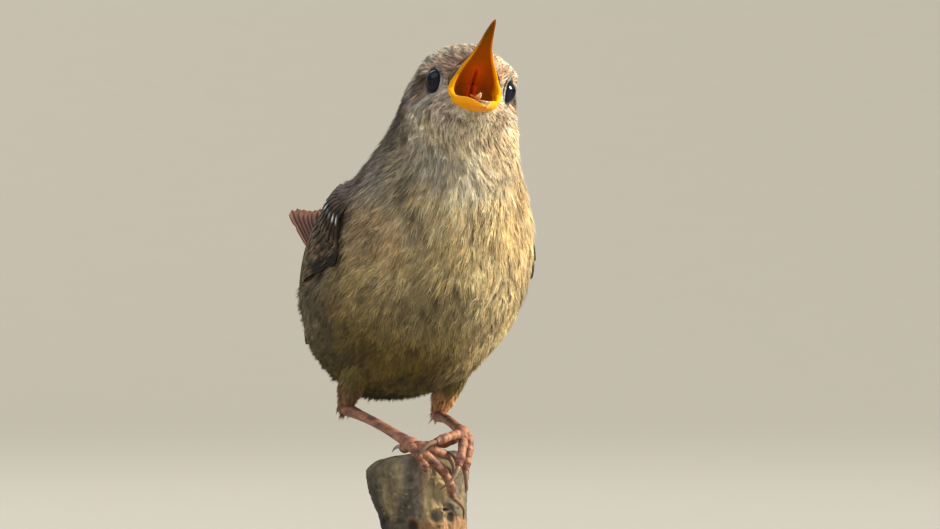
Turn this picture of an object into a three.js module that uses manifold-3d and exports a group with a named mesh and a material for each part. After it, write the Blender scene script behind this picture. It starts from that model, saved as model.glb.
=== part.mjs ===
// A singing wren at life size, perched on the top of a cut stick and held by a small round display stand.
// Millimetres, +Z up. The breast faces -Y and the bird's left side is +X. The origin is the middle of the
// stand's underside. Bird and perch are built around PERCH_TOP, the level that the toes stand on.
import * as THREE from "three";
import { mergeVertices } from "three/addons/utils/BufferGeometryUtils.js";
import Module from "manifold-3d";

const wasm = await Module();
wasm.setup();

// Clearance between neighbouring pieces
const GAP = 0.3;

// Display stand
const BASE_RADIUS = 40;
const BASE_HEIGHT = 8;
const BASE_BEVEL = 1.2;
const ROD_RADIUS = 2;
const ROD_LENGTH = 12;

// Cut stick: its length below the toes, and its outline from the bottom cut to the top
const PERCH_LENGTH = 27;
const PERCH_TOP = BASE_HEIGHT + ROD_LENGTH + PERCH_LENGTH;
const PERCH_RADII = [6.6, 6.7, 6.8, 6.9, 7.4, 8.2, 8.7, 8.6];
const PERCH_LEAN = [0.2, 0.5, 0.8, 0.95, 0.8, 0.1, 0, 0];
const PERCH_SIDES = 24;
const PERCH_TOP_LEVEL = -0.6;
const PERCH_TOP_SLANT = 0.085;

// The stick and the feet are laid out as seen from the front right, this far round from the breast
const VIEW_TURN = THREE.MathUtils.degToRad(28);
const VIEW_RIGHT = new THREE.Vector3(Math.cos(VIEW_TURN), -Math.sin(VIEW_TURN), 0);

// Body stations from the rump to the face, evenly spaced along the body
const BODY = {
  x: [-0.1, 0, 0.4, 0.6, 0.9, 1, 0.8, 0.5, 0.2, 0, -0.3, -2.3],
  y: [20.8, 15.5, 9.7, 3.9, -1.4, -5.9, -9.5, -12, -14, -16.3, -19.2, -25.9],
  z: [13, 18, 23, 28.5, 34.5, 40.3, 46, 51, 55.3, 58.9, 61.2, 61.8],
  pitch: [40, 42, 43, 45, 49, 53, 57, 57, 52, 45, 40, 24],
  turn: [0, 0, 0, 0, 0, 0, 0, 0, -4, -9, -10.8, -10.8],
  roll: [0, 0, 0, 0, 0, 0, 0, 0, -4, -9, -10.6, -10.6],
  wide: [10.4, 13, 16.7, 18.3, 17.8, 15.6, 12.8, 10.6, 9.6, 8.7, 7.8, 4.6],
  back: [7.6, 10.2, 13.8, 15.8, 15.5, 14.2, 12.9, 11.6, 10.6, 9.3, 7.8, 4.75],
  breast: [8.8, 11.5, 16.2, 18.6, 18.8, 16.9, 14.6, 12.7, 11.7, 10.6, 9.4, 4.75],
  setback: [0, 0, 0, 0, 0, 0, 0, 0, 0, 0, 0.4, 4.3],
};
const BODY_RINGS = 42;
const BODY_SIDES = 32;
const REAR_CLOSING = 0.1;
const NECK_FROM = 0.6;
const HEAD_FROM = 0.735;

// Head frame: the point midway between the eyes, and how the head is held
const EYE_MIDDLE = new THREE.Vector3(0, -18.5, 61.2);
const HEAD_TURN = -10.8;
const HEAD_PITCH = 42.4;
const HEAD_ROLL = -11.6;
const EYE_RADIUS = 2.3;
const EYE_PLACE = [-0.5, -0.95, 5.25];
const EYE_AXIS = [0.27, -0.33, 0.9];
const EYE_RIM = 1.8;
const EYE_RIM_REACH = 3.1;
const LID_RADIUS = 2.05;
const LID_THICK = 0.42;
const LID_HEIGHT = 1.3;
const BROW_PLACE = [0.8, 3.3, 0.9];
const BROW_RISE = 0.75;
const BROW_REACH = 2.3;
const MOUTH_DEPTH = 6.5;
const MOUTH_POCKET = [[0.1, 0.8], [0.45, 0.66], [0.75, 0.45], [0.93, 0.22]];

// Bill stations from the gape to the tip, in the head frame
const UPPER_BILL = {
  along: [1.2, 2.7, 4.3, 6, 8, 10.6, 13.5, 16.2, 18.3],
  edge: [-5.1, -4.5, -3.75, -3.1, -2.65, -2.4, -2.55, -3.1, -3.85],
  ridge: [-1.0, -0.9, -0.9, -0.9, -0.9, -1.1, -1.65, -2.55, -3.6],
  wide: [4.0, 4.2, 3.6, 2.8, 1.9, 1.15, 0.75, 0.42, 0.15],
};
const LOWER_BILL = {
  along: [-1.0, 1.0, 3.0, 5.0, 7.5, 10.0, 12.5, 14.6],
  edge: [-0.2, -0.8, -0.9, -0.5, -0.1, 0, 0, 0],
  ridge: [-2.6, -2.9, -2.8, -2.4, -1.8, -1.35, -0.9, -0.45],
  wide: [4.1, 4.1, 3.7, 3.0, 2.2, 1.45, 0.85, 0.2],
};
const GAPE_ALONG = 2.3;
const GAPE_HEIGHT = -4.9;
const LOWER_BILL_DROP = 53.5;
const BILL_WALL = 0.26;
const BILL_SIDES = 16;
const TONGUE_LENGTH = 9.5;

// Folded wing: how far along the body it runs, and its upper and lower edges as angles down from the back
const WING = {
  from: 0.44,
  to: 0.01,
  top: [58, 43, 35, 31, 29.5, 29, 29.5, 31, 34, 39, 46],
  bottom: [76, 93, 100, 98, 94, 88, 81, 74, 67, 59, 52],
  clear: 0.6,
  core: 0.88,
};
const WING_DROOP = [0, 13];
const VANE_THICK = 0.55;
const VANE_CLEAR = 0.5;

// Rows of wing feathers from the lowest to the uppermost: roots and tips of the first and the last feather, as
// shares of the wing's length and of its depth, with the half width and how high the row lies
const WING_ROWS = [
  { count: 5, roots: [[0.3, 0.86], [0.3, 0.7]], tips: [[0.8, 0.97], [1, 0.45]], half: 2.4, lift: 0.2 },
  { count: 4, roots: [[0.3, 0.66], [0.28, 0.38]], tips: [[0.9, 0.6], [0.8, 0.32]], half: 2.7, lift: 0.45 },
  { count: 3, roots: [[0.26, 0.32], [0.24, 0.16]], tips: [[0.86, 0.2], [0.62, 0.1]], half: 2.6, lift: 0.65 },
  { count: 4, roots: [[0.12, 0.86], [0.14, 0.2]], tips: [[0.42, 0.84], [0.5, 0.16]], half: 2.9, lift: 0.75 },
  { count: 3, roots: [[0.02, 0.78], [0.02, 0.22]], tips: [[0.2, 0.8], [0.27, 0.2]], half: 2.9, lift: 0.95 },
];
const VANE_REACH = [0, 0.32, 0.64, 0.88, 1];
const VANE_WIDTH = [0.5, 0.95, 1, 0.8, 0.3];

// Tail: its root in the rump, how steeply it is cocked, and its feathers
const TAIL_ROOT = new THREE.Vector3(0, 19.0, 14.6);
const TAIL_COCK = 57;
const TAIL_LENGTH = 31.5;
const TAIL_PAIRS = 5;
const TAIL_VANE_HALF = 2.3;
const TAIL_FAN = 1.9;
const TAIL_COVERTS = [{ length: 11, spread: 2.1, lift: 1.1 }, { length: 13, spread: 2.1, lift: -1.1 }];

// Legs: ankles, the points where the toes start, and thicknesses, right leg first
const ANKLES = [new THREE.Vector3(-8.85, 10, 6.9), new THREE.Vector3(8.85, 10, 5.6)];
const KNEE_FROM_ANKLE = [[0, 0, 0], [0, -2.8, 4], [0.3, -7, 8.6], [0.6, -10, 12.4]];
const FEET = [new THREE.Vector3(-4.6, -6.1, 1.1), new THREE.Vector3(5.0, -6.0, 2.9)];
const FOOT_RADIUS = 1.3;
const THIGH_RADII = [1.35, 2.2, 2.6, 2.9, 3.3, 3.8];
const SHANK_RADII = [1.2, 0.86, 0.8, 0.84, 1.05];
const TOE_RADIUS = 0.82;
const CLAW_RADIUS = 0.5;

// Toe routes after the foot, as [angle round the stick, distance out from its middle line, height], and the
// route of each claw after its toe. Angle 0 is straight in front of the breast, and + is the bird's left.
const TOES = [
  {
    outer: { toe: [[-32, 9.9, 0.1], [-25, 10.1, -1.3], [-19.5, 9.9, -3.2]], claw: [[-20, 9.9, -4.6], [-26, 9.7, -6.4], [-34, 9.3, -7.8]] },
    middle: { toe: [[-24, 9.9, -0.2], [-6.4, 10.0, -2.9], [5, 9.7, -5.7], [8.5, 9.3, -7.6]], claw: [[14, 9.1, -8.2], [24, 8.8, -9.6], [27, 8.1, -11.5]] },
    inner: { toe: [[-22, 9.4, 0.7], [-10, 9.7, 0], [4, 9.3, -0.9]], claw: [[8, 9.4, -1.8], [11, 9.3, -3.2], [11, 9.1, -4.8]] },
    hind: { toe: [[-60, 4.2, 0.4], [-150, 3.2, 0.4]], claw: [[-168, 5.2, 0.5], [-172, 7, 0.1], [-174, 8.2, -0.6]] },
  },
  {
    outer: { toe: [[31, 9.7, 1.6], [25.5, 10.2, -0.4], [21.5, 10.1, -3.2]], claw: [[21.5, 10.3, -4.4], [23, 10.1, -5.8], [25.5, 9.6, -7]] },
    middle: { toe: [[15, 10.8, 1.4], [8, 12.0, -0.6], [5, 12.1, -2.4]], claw: [[2, 12.4, -3.6], [-3, 12.3, -5], [-11, 11.7, -6.4]] },
    inner: { toe: [[16, 10.0, 2.8], [-1, 11.0, 2.4], [-14, 11.8, 1.6]], claw: [[-20, 12.2, 1.2], [-25, 12.3, 0.2], [-31, 12.0, -1.2]] },
    hind: { toe: [[62, 4.8, 1.3], [124, 4.4, 0.9]], claw: [[142, 5.4, 1.0], [154, 7.0, 0.5], [160, 8.2, -0.2]] },
  },
];

// Value at t (0 to 1) of the smooth curve through evenly spaced values
function spline(values, t) {
  const last = values.length - 1;
  const s = Math.min(Math.max(t, 0), 1) * last;
  const i = Math.min(Math.floor(s), last - 1);
  const f = s - i;
  const [a, b, c, d] = [values[Math.max(i - 1, 0)], values[i], values[i + 1], values[Math.min(i + 2, last)]];
  return b + 0.5 * f * (c - a + f * (2 * a - 5 * b + 4 * c - d + f * (3 * (b - c) + d - a)));
}

// Forward, left and up directions of something turned, pitched up and rolled, in degrees
function frameOf(turn, pitch, roll) {
  const [t, p, r] = [turn, pitch, roll].map(THREE.MathUtils.degToRad);
  const forward = new THREE.Vector3(Math.sin(t) * Math.cos(p), -Math.cos(t) * Math.cos(p), Math.sin(p));
  const level = new THREE.Vector3(Math.cos(t), Math.sin(t), 0);
  const above = forward.clone().cross(level);
  const left = level.clone().multiplyScalar(Math.cos(r)).addScaledVector(above, Math.sin(r));
  return { forward, left, up: forward.clone().cross(left) };
}

// Point reached from start by steps along directions: at(start, [direction, distance], ...)
function at(start, ...steps) {
  const p = start.clone();
  for (const [direction, distance] of steps) p.addScaledVector(direction, distance);
  return p;
}

// Closed solid from a triangle list over shared points, turned right side out
function solidOf(points, triangles) {
  const geometry = new THREE.BufferGeometry().setFromPoints(points);
  geometry.setIndex(triangles);
  return solidOfGeometry(geometry);
}

// Closed solid from a three.js geometry whose seams and poles are merged
function solidOfGeometry(geometry) {
  const bare = geometry.clone();
  bare.deleteAttribute("normal");
  bare.deleteAttribute("uv");
  const merged = mergeVertices(bare, 1e-4);
  const kept = [];
  for (let i = 0; i < merged.index.count; i += 3) {
    const [a, b, c] = [0, 1, 2].map((k) => merged.index.getX(i + k));
    if (a !== b && b !== c && a !== c) kept.push(a, b, c);
  }
  const vertProperties = new Float32Array(merged.attributes.position.array);
  const build = (list) =>
    new wasm.Manifold(new wasm.Mesh({ numProp: 3, vertProperties, triVerts: new Uint32Array(list) }));
  const made = build(kept);
  if (made.volume() > 0) return made;
  return build(kept.map((_, i) => kept[i % 3 === 1 ? i + 1 : i % 3 === 2 ? i - 1 : i]));
}

// Solid skinned over rings of equal length, with each end closed to its middle or to a given point
function loft(rings, startPole, endPole) {
  const sides = rings[0].length;
  const middle = (ring) => ring.reduce((sum, p) => sum.add(p), new THREE.Vector3()).divideScalar(sides);
  const points = [...rings.flat(), startPole ?? middle(rings[0]), endPole ?? middle(rings.at(-1))];
  const start = points.length - 2;
  const triangles = [];
  for (let i = 0; i < rings.length - 1; i++)
    for (let j = 0; j < sides; j++) {
      const [a, b] = [i * sides + j, i * sides + ((j + 1) % sides)];
      triangles.push(a, b, b + sides, a, b + sides, a + sides);
    }
  for (let j = 0; j < sides; j++) {
    const next = (j + 1) % sides;
    const lastRing = (rings.length - 1) * sides;
    triangles.push(start, next, j, start + 1, lastRing + j, lastRing + next);
  }
  return solidOf(points, triangles);
}

// Round tube along a smooth curve through points; radii are spread evenly along it. It can be grown on all sides.
function tube(points, radii, sides, steps, grow = 0) {
  const ends = [0, 1].map((end) => {
    const [tip, next] = end ? [points.at(-1), points.at(-2)] : [points[0], points[1]];
    return at(tip, [tip.clone().sub(next).normalize(), grow]);
  });
  const curve = new THREE.CatmullRomCurve3([ends[0], ...points.slice(1, -1), ends[1]], false, "centripetal");
  const frames = curve.computeFrenetFrames(steps);
  const rings = [];
  for (let i = 0; i <= steps; i++) {
    const radius = spline(radii, i / steps) + grow;
    rings.push(
      Array.from({ length: sides }, (_, j) => {
        const angle = (2 * Math.PI * j) / sides;
        const across = [frames.normals[i], radius * Math.cos(angle)];
        return at(curve.getPointAt(i / steps), across, [frames.binormals[i], radius * Math.sin(angle)]);
      }),
    );
  }
  return loft(rings);
}

// Thin curved plate over a grid of surface points: surface(s, w, lift) with s and w from 0 to 1 and -1 to 1.
// Top and bottom are split into triangles alike.
function plate(surface, along, across, thick) {
  const points = [];
  for (const side of [0, -thick])
    for (let i = 0; i <= along; i++)
      for (let j = 0; j <= across; j++) points.push(surface(i / along, (2 * j) / across - 1, side));
  const id = (side, i, j) => (side * (along + 1) + i) * (across + 1) + j;
  const triangles = [];
  const wall = (i0, j0, i1, j1) =>
    triangles.push(id(0, i0, j0), id(1, i0, j0), id(1, i1, j1), id(0, i0, j0), id(1, i1, j1), id(0, i1, j1));
  for (let i = 0; i < along; i++)
    for (let j = 0; j < across; j++) {
      const corners = [[i, j], [i + 1, j], [i + 1, j + 1], [i, j + 1]];
      const [a, b, c, d] = corners.map(([m, n]) => id(0, m, n));
      const [e, f, g, h] = corners.map(([m, n]) => id(1, m, n));
      triangles.push(a, b, c, a, c, d, e, g, f, e, h, g);
    }
  for (let i = 0; i < along; i++) {
    wall(i, 0, i + 1, 0);
    wall(i + 1, across, i, across);
  }
  for (let j = 0; j < across; j++) {
    wall(0, j + 1, 0, j);
    wall(along, j, along, j + 1);
  }
  return solidOf(points, triangles);
}

// Pieces joined into one
function fuse(solids) {
  return solids.reduce((all, next) => all.add(next));
}

// Named mesh of a solid's largest closed body
function meshOf(name, solid, material) {
  const bodies = solid.decompose();
  const largest = bodies.reduce((best, body) => (body.volume() > best.volume() ? body : best));
  const { numProp, numVert, vertProperties, triVerts } = largest.getMesh();
  const geometry = new THREE.BufferGeometry();
  const position = new Float32Array(numVert * 3);
  for (let i = 0; i < numVert; i++)
    position.set(vertProperties.subarray(i * numProp, i * numProp + 3), i * 3);
  geometry.setAttribute("position", new THREE.BufferAttribute(position, 3));
  geometry.setIndex(new THREE.BufferAttribute(triVerts, 1));
  const mesh = new THREE.Mesh(geometry, material);
  mesh.name = name;
  return mesh;
}

function finish(color, roughness, metalness = 0) {
  return new THREE.MeshStandardMaterial({ color, roughness, metalness });
}

const PLUMAGE_PALE = finish(0xb9a68a, 0.9);
const PLUMAGE_BROWN = finish(0x7c6650, 0.9);
const WING_BROWN = finish(0x6b4f38, 0.85);
const BILL_OUTER = finish(0xc98a35, 0.45);
const MOUTH_FLESH = finish(0xe08a1e, 0.4);
const EYE_DARK = finish(0x14100e, 0.08);
const LEG_FLESH = finish(0xa5745a, 0.55);
const CLAW_HORN = finish(0x8d7663, 0.4);
const BARK = finish(0x77705c, 0.9);
const STAND_WOOD = finish(0x4a3020, 0.5);
const STAND_BRASS = finish(0xb08d4a, 0.3, 1);

// Head frame

const HEAD = frameOf(HEAD_TURN, HEAD_PITCH, HEAD_ROLL);

// Point in the head frame: along the bill line, up to the crown, and out to the bird's left
function headPoint(along, up, left) {
  return at(EYE_MIDDLE, [HEAD.forward, along], [HEAD.up, up], [HEAD.left, left]);
}

// Direction that an eye looks in, side -1 for the right one
function eyeAxis(side) {
  const [along, up, left] = EYE_AXIS;
  return at(new THREE.Vector3(), [HEAD.forward, along], [HEAD.up, up], [HEAD.left, left * side]).normalize();
}

function eyeCentre(side) {
  const [along, up, left] = EYE_PLACE;
  return headPoint(along, up, left * side);
}

// Middle of the low ridge above an eye
function brow(side) {
  const [along, up, left] = BROW_PLACE;
  return at(eyeCentre(side), [HEAD.forward, along], [HEAD.up, up], [HEAD.left, left * side]);
}

// Body

// Middle, directions and reaches of the body's cross-section at v, 0 at the rump and 1 at the face
function bodySection(v) {
  const value = (name) => spline(BODY[name], v);
  const middle = new THREE.Vector3(value("x"), value("y"), value("z"));
  const frame = frameOf(value("turn"), value("pitch"), value("roll"));
  return { middle, ...frame, wide: value("wide"), back: value("back"), breast: value("breast"), setback: value("setback") };
}

// How far the rounded rear end has opened at v
function rearOpening(v) {
  const short = 1 - Math.min(v / REAR_CLOSING, 1);
  return Math.sqrt(1 - short * short);
}

// Point of the section at an angle down from the back, + to the bird's left, with its reaches grown and scaled
function sectionPoint(section, angle, grow = 0, scale = 1) {
  const [sin, cos] = [Math.sin(angle), Math.cos(angle)];
  const reach = (cos > 0 ? section.back : section.breast) * scale + grow;
  return at(
    section.middle,
    [section.left, (section.wide * scale + grow) * sin],
    [section.up, reach * cos],
    [section.forward, -section.setback * sin * sin],
  );
}

// Point of the skin raised along the brows, and drawn to the height of the lids where it lies over an eye
function shapedAtEyes(point) {
  for (const side of [-1, 1]) {
    const raise = BROW_RISE * Math.exp(-((point.distanceTo(brow(side)) / BROW_REACH) ** 2));
    point.addScaledVector(HEAD.left, side * raise);
    const from = point.clone().sub(eyeCentre(side));
    const height = from.dot(eyeAxis(side));
    const aside = Math.sqrt(Math.max(from.lengthSq() - height * height, 0));
    const above = height > 0 ? height - EYE_RIM : 0;
    point.addScaledVector(eyeAxis(side), -above * Math.exp(-((aside / EYE_RIM_REACH) ** 4)));
  }
  return point;
}

function sectionRing(section, grow, scale) {
  return Array.from({ length: BODY_SIDES }, (_, j) =>
    shapedAtEyes(sectionPoint(section, (2 * Math.PI * j) / BODY_SIDES, grow, scale)),
  );
}

// The whole body from rump to face, with the mouth hollowed in from the face. It can be grown on all sides.
function wholeBody(grow = 0) {
  const rings = [];
  for (let i = 1; i <= BODY_RINGS; i++) {
    const t = i / BODY_RINGS;
    const v = t * (0.55 + 0.45 * t);
    const section = bodySection(v);
    section.middle.addScaledVector(section.forward, -grow * Math.max(1 - v / REAR_CLOSING, 0));
    rings.push(sectionRing(section, grow, rearOpening(v)));
  }
  const face = bodySection(1);
  for (const [inward, share] of MOUTH_POCKET) {
    const deeper = { ...face, middle: at(face.middle, [face.forward, -inward * MOUTH_DEPTH]) };
    rings.push(sectionRing({ ...deeper, setback: face.setback * (1 - inward) }, 0, share));
  }
  const rear = bodySection(0);
  return loft(rings, at(rear.middle, [rear.forward, -grow]), at(face.middle, [face.forward, -MOUTH_DEPTH]));
}

// Block that covers everything ahead of a place along the body, or behind it, from half a gap away
function cutter(v, ahead) {
  const { middle, forward, up } = bodySection(v);
  const size = 160;
  const direction = forward.clone().multiplyScalar(ahead ? 1 : -1);
  const block = new THREE.BoxGeometry(size, size, size).translate(0, 0, (size - GAP) / 2);
  block.applyMatrix4(new THREE.Matrix4().makeBasis(direction.clone().cross(up).negate(), up, direction));
  return solidOfGeometry(block.translate(middle.x, middle.y, middle.z));
}

// Head

function ball(centre, radius, slices, stacks) {
  const sphere = new THREE.SphereGeometry(radius, slices, stacks).translate(centre.x, centre.y, centre.z);
  return solidOfGeometry(sphere);
}

// Lids: a soft ring round the eye
function lids(side) {
  const ring = new THREE.TorusGeometry(LID_RADIUS, LID_THICK, 6, 18);
  const turn = new THREE.Quaternion().setFromUnitVectors(new THREE.Vector3(0, 0, 1), eyeAxis(side));
  const place = at(eyeCentre(side), [eyeAxis(side), LID_HEIGHT]);
  ring.applyQuaternion(turn).translate(place.x, place.y, place.z);
  return solidOfGeometry(ring);
}

// One half of the bill: a D-shaped section between its cutting edge and its ridge, carried to the tip
function billHalf(place, { along, edge, ridge, wide }, tip, grow) {
  const rings = along.map((a, i) =>
    Array.from({ length: BILL_SIDES }, (_, j) => {
      const height = ridge[i] - edge[i];
      const sign = Math.sign(height);
      const angle = (2 * Math.PI * j) / BILL_SIDES;
      const rise = Math.cos(angle) > 0 ? (height + sign * grow) * Math.cos(angle) ** 0.8 : -sign * Math.max(grow, 0);
      return place(i ? a : a - 1.5 * grow, edge[i] + rise, (wide[i] + grow) * Math.sin(angle));
    }),
  );
  return loft(rings, null, place(...tip));
}

// The hollow inside one half of the bill, open towards the throat and the cutting edge
function billHollow(place, { along, edge, ridge, wide }) {
  const kept = along.slice(0, -1);
  const inner = {
    along: kept.map((a, i) => (i ? a : a - 2)),
    edge: kept.map((_, i) => edge[i] - 0.6 * Math.sign(ridge[i] - edge[i])),
    ridge: kept.map((_, i) => edge[i] + (ridge[i] - edge[i]) * (1 - BILL_WALL)),
    wide: kept.map((_, i) => wide[i] * (1 - 0.8 * BILL_WALL)),
  };
  return billHalf(place, inner, [along.at(-1) - 0.6, edge.at(-1), 0], 0);
}

function upperBill(grow = 0) {
  return billHalf(headPoint, UPPER_BILL, [UPPER_BILL.along.at(-1) + 0.25 + grow, -3.9, 0], grow);
}

// Point of the lower half of the bill, which hangs open from the gape
function lowerBillPoint(along, above, left) {
  const drop = THREE.MathUtils.degToRad(LOWER_BILL_DROP);
  const forward = along * Math.cos(drop) + above * Math.sin(drop);
  const up = -along * Math.sin(drop) + above * Math.cos(drop);
  return headPoint(GAPE_ALONG + forward, GAPE_HEIGHT + up, left);
}

function lowerBill(grow = 0) {
  return billHalf(lowerBillPoint, LOWER_BILL, [LOWER_BILL.along.at(-1) + 0.25 + grow, -0.2, 0], grow);
}

// Flat pointed tongue lying over the lower bill
function tongue() {
  return plate(
    (s, w, lift) => {
      const half = 1.15 * Math.sqrt(Math.max(1 - s * s, 0.02)) * (0.75 + 0.25 * Math.min(4 * s, 1));
      return lowerBillPoint(0.2 + TONGUE_LENGTH * s, -0.62 + 0.55 * s * s + lift + 0.12 * w * w, half * w);
    },
    6,
    2,
    0.6,
  );
}

// Nostrils: a slit pit on each side of the upper bill
function nostril(side) {
  const pit = new THREE.SphereGeometry(0.3, 8, 6).scale(1, 2.4, 0.8);
  const turn = new THREE.Matrix4().makeBasis(HEAD.left, HEAD.forward, HEAD.up);
  const place = headPoint(8.3, -1.6, 1.65 * side);
  return solidOfGeometry(pit.applyMatrix4(turn).translate(place.x, place.y, place.z));
}

// Wings

// Point over the body's side at a share of the wing's length and a share from its upper to its lower edge,
// then some degrees further down
function wingPoint(side, along, down, lift, further = 0) {
  const droop = WING_DROOP[side < 0 ? 0 : 1] * Math.sin(Math.PI * Math.min(along, 1)) ** 0.7;
  const edges = spline(WING.top, along) * (1 - down) + (spline(WING.bottom, along) + droop) * down;
  const degrees = edges + further;
  const section = bodySection(WING.from + (WING.to - WING.from) * along);
  return sectionPoint(section, side * THREE.MathUtils.degToRad(degrees), lift);
}

// How far the wing stands out from the body beyond its clearance, most at the shoulder and along its middle
function wingBulge(along, down) {
  return 0.45 + 0.5 * (1 - (2 * down - 1) ** 2) * (1 - along);
}

// The flesh and the hidden feather bases of the folded wing: a smooth shell a little inside its outline
function wingCore(side) {
  return plate(
    (s, w, lift) => {
      const [along, down] = [s * WING.core, 0.5 + 0.42 * w];
      return wingPoint(side, along, down, WING.clear + (lift < 0 ? 0 : wingBulge(along, down)));
    },
    7,
    4,
    1,
  );
}

// Flight feather or covert from its root to its tip on the wing. Its lower edge lies over the next one below.
function wingVane(side, root, tip, half, lift) {
  return plate(
    (s, w, face) => {
      const reach = spline(VANE_REACH, s);
      const along = root[0] + (tip[0] - root[0]) * reach;
      const down = root[1] + (tip[1] - root[1]) * reach;
      const { wide } = bodySection(WING.from + (WING.to - WING.from) * along);
      const aside = THREE.MathUtils.radToDeg((w * half * spline(VANE_WIDTH, s)) / wide);
      const sunk = 0.5 * (1 - Math.min(4 * reach, 1));
      const over = 0.22 * w + lift - sunk + wingBulge(along, down) * (1 - 0.45 * reach);
      return wingPoint(side, along, down, WING.clear + Math.max(over, VANE_THICK + VANE_CLEAR) + face, aside);
    },
    4,
    1,
    VANE_THICK,
  );
}

// The folded wing: its rows of feathers, each row and feather over the one below it
function wing(side) {
  const vanes = WING_ROWS.flatMap(({ count, roots, tips, half, lift }) =>
    Array.from({ length: count }, (_, i) => {
      const t = i / (count - 1);
      const between = ([first, last]) => [0, 1].map((k) => first[k] + (last[k] - first[k]) * t);
      return wingVane(side, between(roots), between(tips), half, lift + 0.1 * i);
    }),
  );
  return fuse([wingCore(side), ...vanes]);
}

// Tail

const COCK = THREE.MathUtils.degToRad(TAIL_COCK);
const TAIL_ALONG = new THREE.Vector3(0, Math.cos(COCK), Math.sin(COCK));
const TAIL_UP = new THREE.Vector3(0, -Math.sin(COCK), Math.cos(COCK));
const TAIL_LEFT = new THREE.Vector3(1, 0, 0);

// Tail feather or covert from the root, swung aside and lying above or below the middle of the tail
function tailVane(from, length, half, swing, lift, tilt) {
  const angle = THREE.MathUtils.degToRad(swing);
  return plate(
    (s, w, face) => {
      const along = from + (length - from) * spline(VANE_REACH, s);
      const aside = w * half * spline(VANE_WIDTH, s);
      const up = lift + tilt * aside + face;
      const [left, ahead] = [Math.sin(angle), Math.cos(angle)];
      return at(
        TAIL_ROOT,
        [TAIL_LEFT, along * left + aside * ahead],
        [TAIL_ALONG, along * ahead - aside * left],
        [TAIL_UP, up],
      );
    },
    4,
    1,
    VANE_THICK,
  );
}

// The tail: pairs of feathers fanned out below the middle pair, joined by their bases, with a few coverts
function tail() {
  const base = plate(
    (s, w, lift) => {
      const thick = (lift < 0 ? -0.9 : 0.8) * (1 - 0.45 * s) * (1 - 0.4 * w * w);
      return at(TAIL_ROOT, [TAIL_LEFT, w * (2.5 + 0.6 * s)], [TAIL_ALONG, 13 * s], [TAIL_UP, thick]);
    },
    3,
    4,
    1,
  );
  const vanes = [];
  for (const side of [-1, 1]) {
    for (let i = 0; i < TAIL_PAIRS; i++) {
      const swing = side * (0.9 + TAIL_FAN * i);
      vanes.push(tailVane(0, TAIL_LENGTH - 0.28 * i * i, TAIL_VANE_HALF, swing, 0.5 - 0.2 * i, side * -0.09));
    }
    for (const { length, spread, lift } of TAIL_COVERTS)
      vanes.push(tailVane(0, length, 1.9, side * spread * 2, lift, side * -0.16 * Math.sign(lift)));
  }
  return fuse([base, ...vanes]);
}

// Legs and feet

// Feathered thigh from the ankle up into the belly
function thigh(leg, grow = 0) {
  const route = KNEE_FROM_ANKLE.map(([inward, back, rise]) =>
    ANKLES[leg].clone().add(new THREE.Vector3(leg ? -inward : inward, back, rise)),
  );
  return tube(route, THIGH_RADII, 14, 9, grow);
}

// Bare shank from just inside the feathered thigh to the foot
function shank(leg) {
  const [ankle, foot] = [ANKLES[leg], FEET[leg]];
  const bow = ankle.clone().lerp(foot, 0.5).add(new THREE.Vector3(0, 0, 0.35));
  return tube([ankle.clone().lerp(foot, 0.02), bow, foot], SHANK_RADII, 8, 10);
}

// Middle line of the stick at a height above or below the toes
function perchMiddle(z) {
  const t = 1 + z / PERCH_LENGTH;
  return VIEW_RIGHT.clone().multiplyScalar(spline(PERCH_LEAN, t)).setZ(z);
}

// Place beside the stick from its angle, distance and height
function besidePerch([degrees, distance, z]) {
  const angle = THREE.MathUtils.degToRad(degrees);
  return perchMiddle(z).add(new THREE.Vector3(distance * Math.sin(angle), -distance * Math.cos(angle), 0));
}

// A toe with a pad under each joint
function toe(leg, digit, grow = 0) {
  const route = [FEET[leg], ...TOES[leg][digit].toe.map(besidePerch)];
  const pads = [1.15, 0.92, 1.06, 0.88, 1.04, 0.86, 0.98, 0.74];
  return tube(route, pads.map((pad) => pad * TOE_RADIUS), 7, 10, grow);
}

function claw(leg, digit) {
  const { toe: toeRoute, claw: clawRoute } = TOES[leg][digit];
  const route = [toeRoute.at(-1), ...clawRoute].map(besidePerch);
  return tube(route, [0.95, 1.05, 0.85, 0.55, 0.2].map((k) => k * CLAW_RADIUS), 6, 6);
}

function foot(leg, grow = 0) {
  const pad = ball(FEET[leg], FOOT_RADIUS + grow, 10, 7);
  return fuse([pad, ...Object.keys(TOES[leg]).map((digit) => toe(leg, digit, grow))]);
}

// Perch

// Level of the stick's slanting top at a point
function perchTopAt(p) {
  return PERCH_TOP_LEVEL + PERCH_TOP_SLANT * p.dot(VIEW_RIGHT);
}

// The stick: a slightly uneven tube with a knot below the toes, and a slanting, rounded top
function perch(grow = 0) {
  const ring = (z, inset) =>
    Array.from({ length: PERCH_SIDES }, (_, j) => {
      const degrees = (360 * j) / PERCH_SIDES;
      const a = THREE.MathUtils.degToRad(degrees);
      const knot = 0.9 * Math.exp(-(((degrees - 345) / 26) ** 2 + ((z + 11) / 3.2) ** 2));
      const uneven = 0.16 * Math.sin(3 * a + 1) + 0.12 * Math.sin(5 * a + z / 5);
      const radius = spline(PERCH_RADII, 1 + z / PERCH_LENGTH) + knot + uneven - inset + grow;
      return besidePerch([degrees, radius, z]);
    });
  const rings = [];
  for (let z = -PERCH_LENGTH; z < -2.5; z += 3) rings.push(ring(z, 0));
  for (const [drop, inset] of [[1.9, 0.1], [0.85, 0.6], [0.2, 1.6], [0, 4]])
    rings.push(ring(0, inset).map((p) => p.setZ(perchTopAt(p) - drop + grow)));
  return loft(rings, null, new THREE.Vector3(0, 0, PERCH_TOP_LEVEL + grow));
}

// Stand

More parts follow.
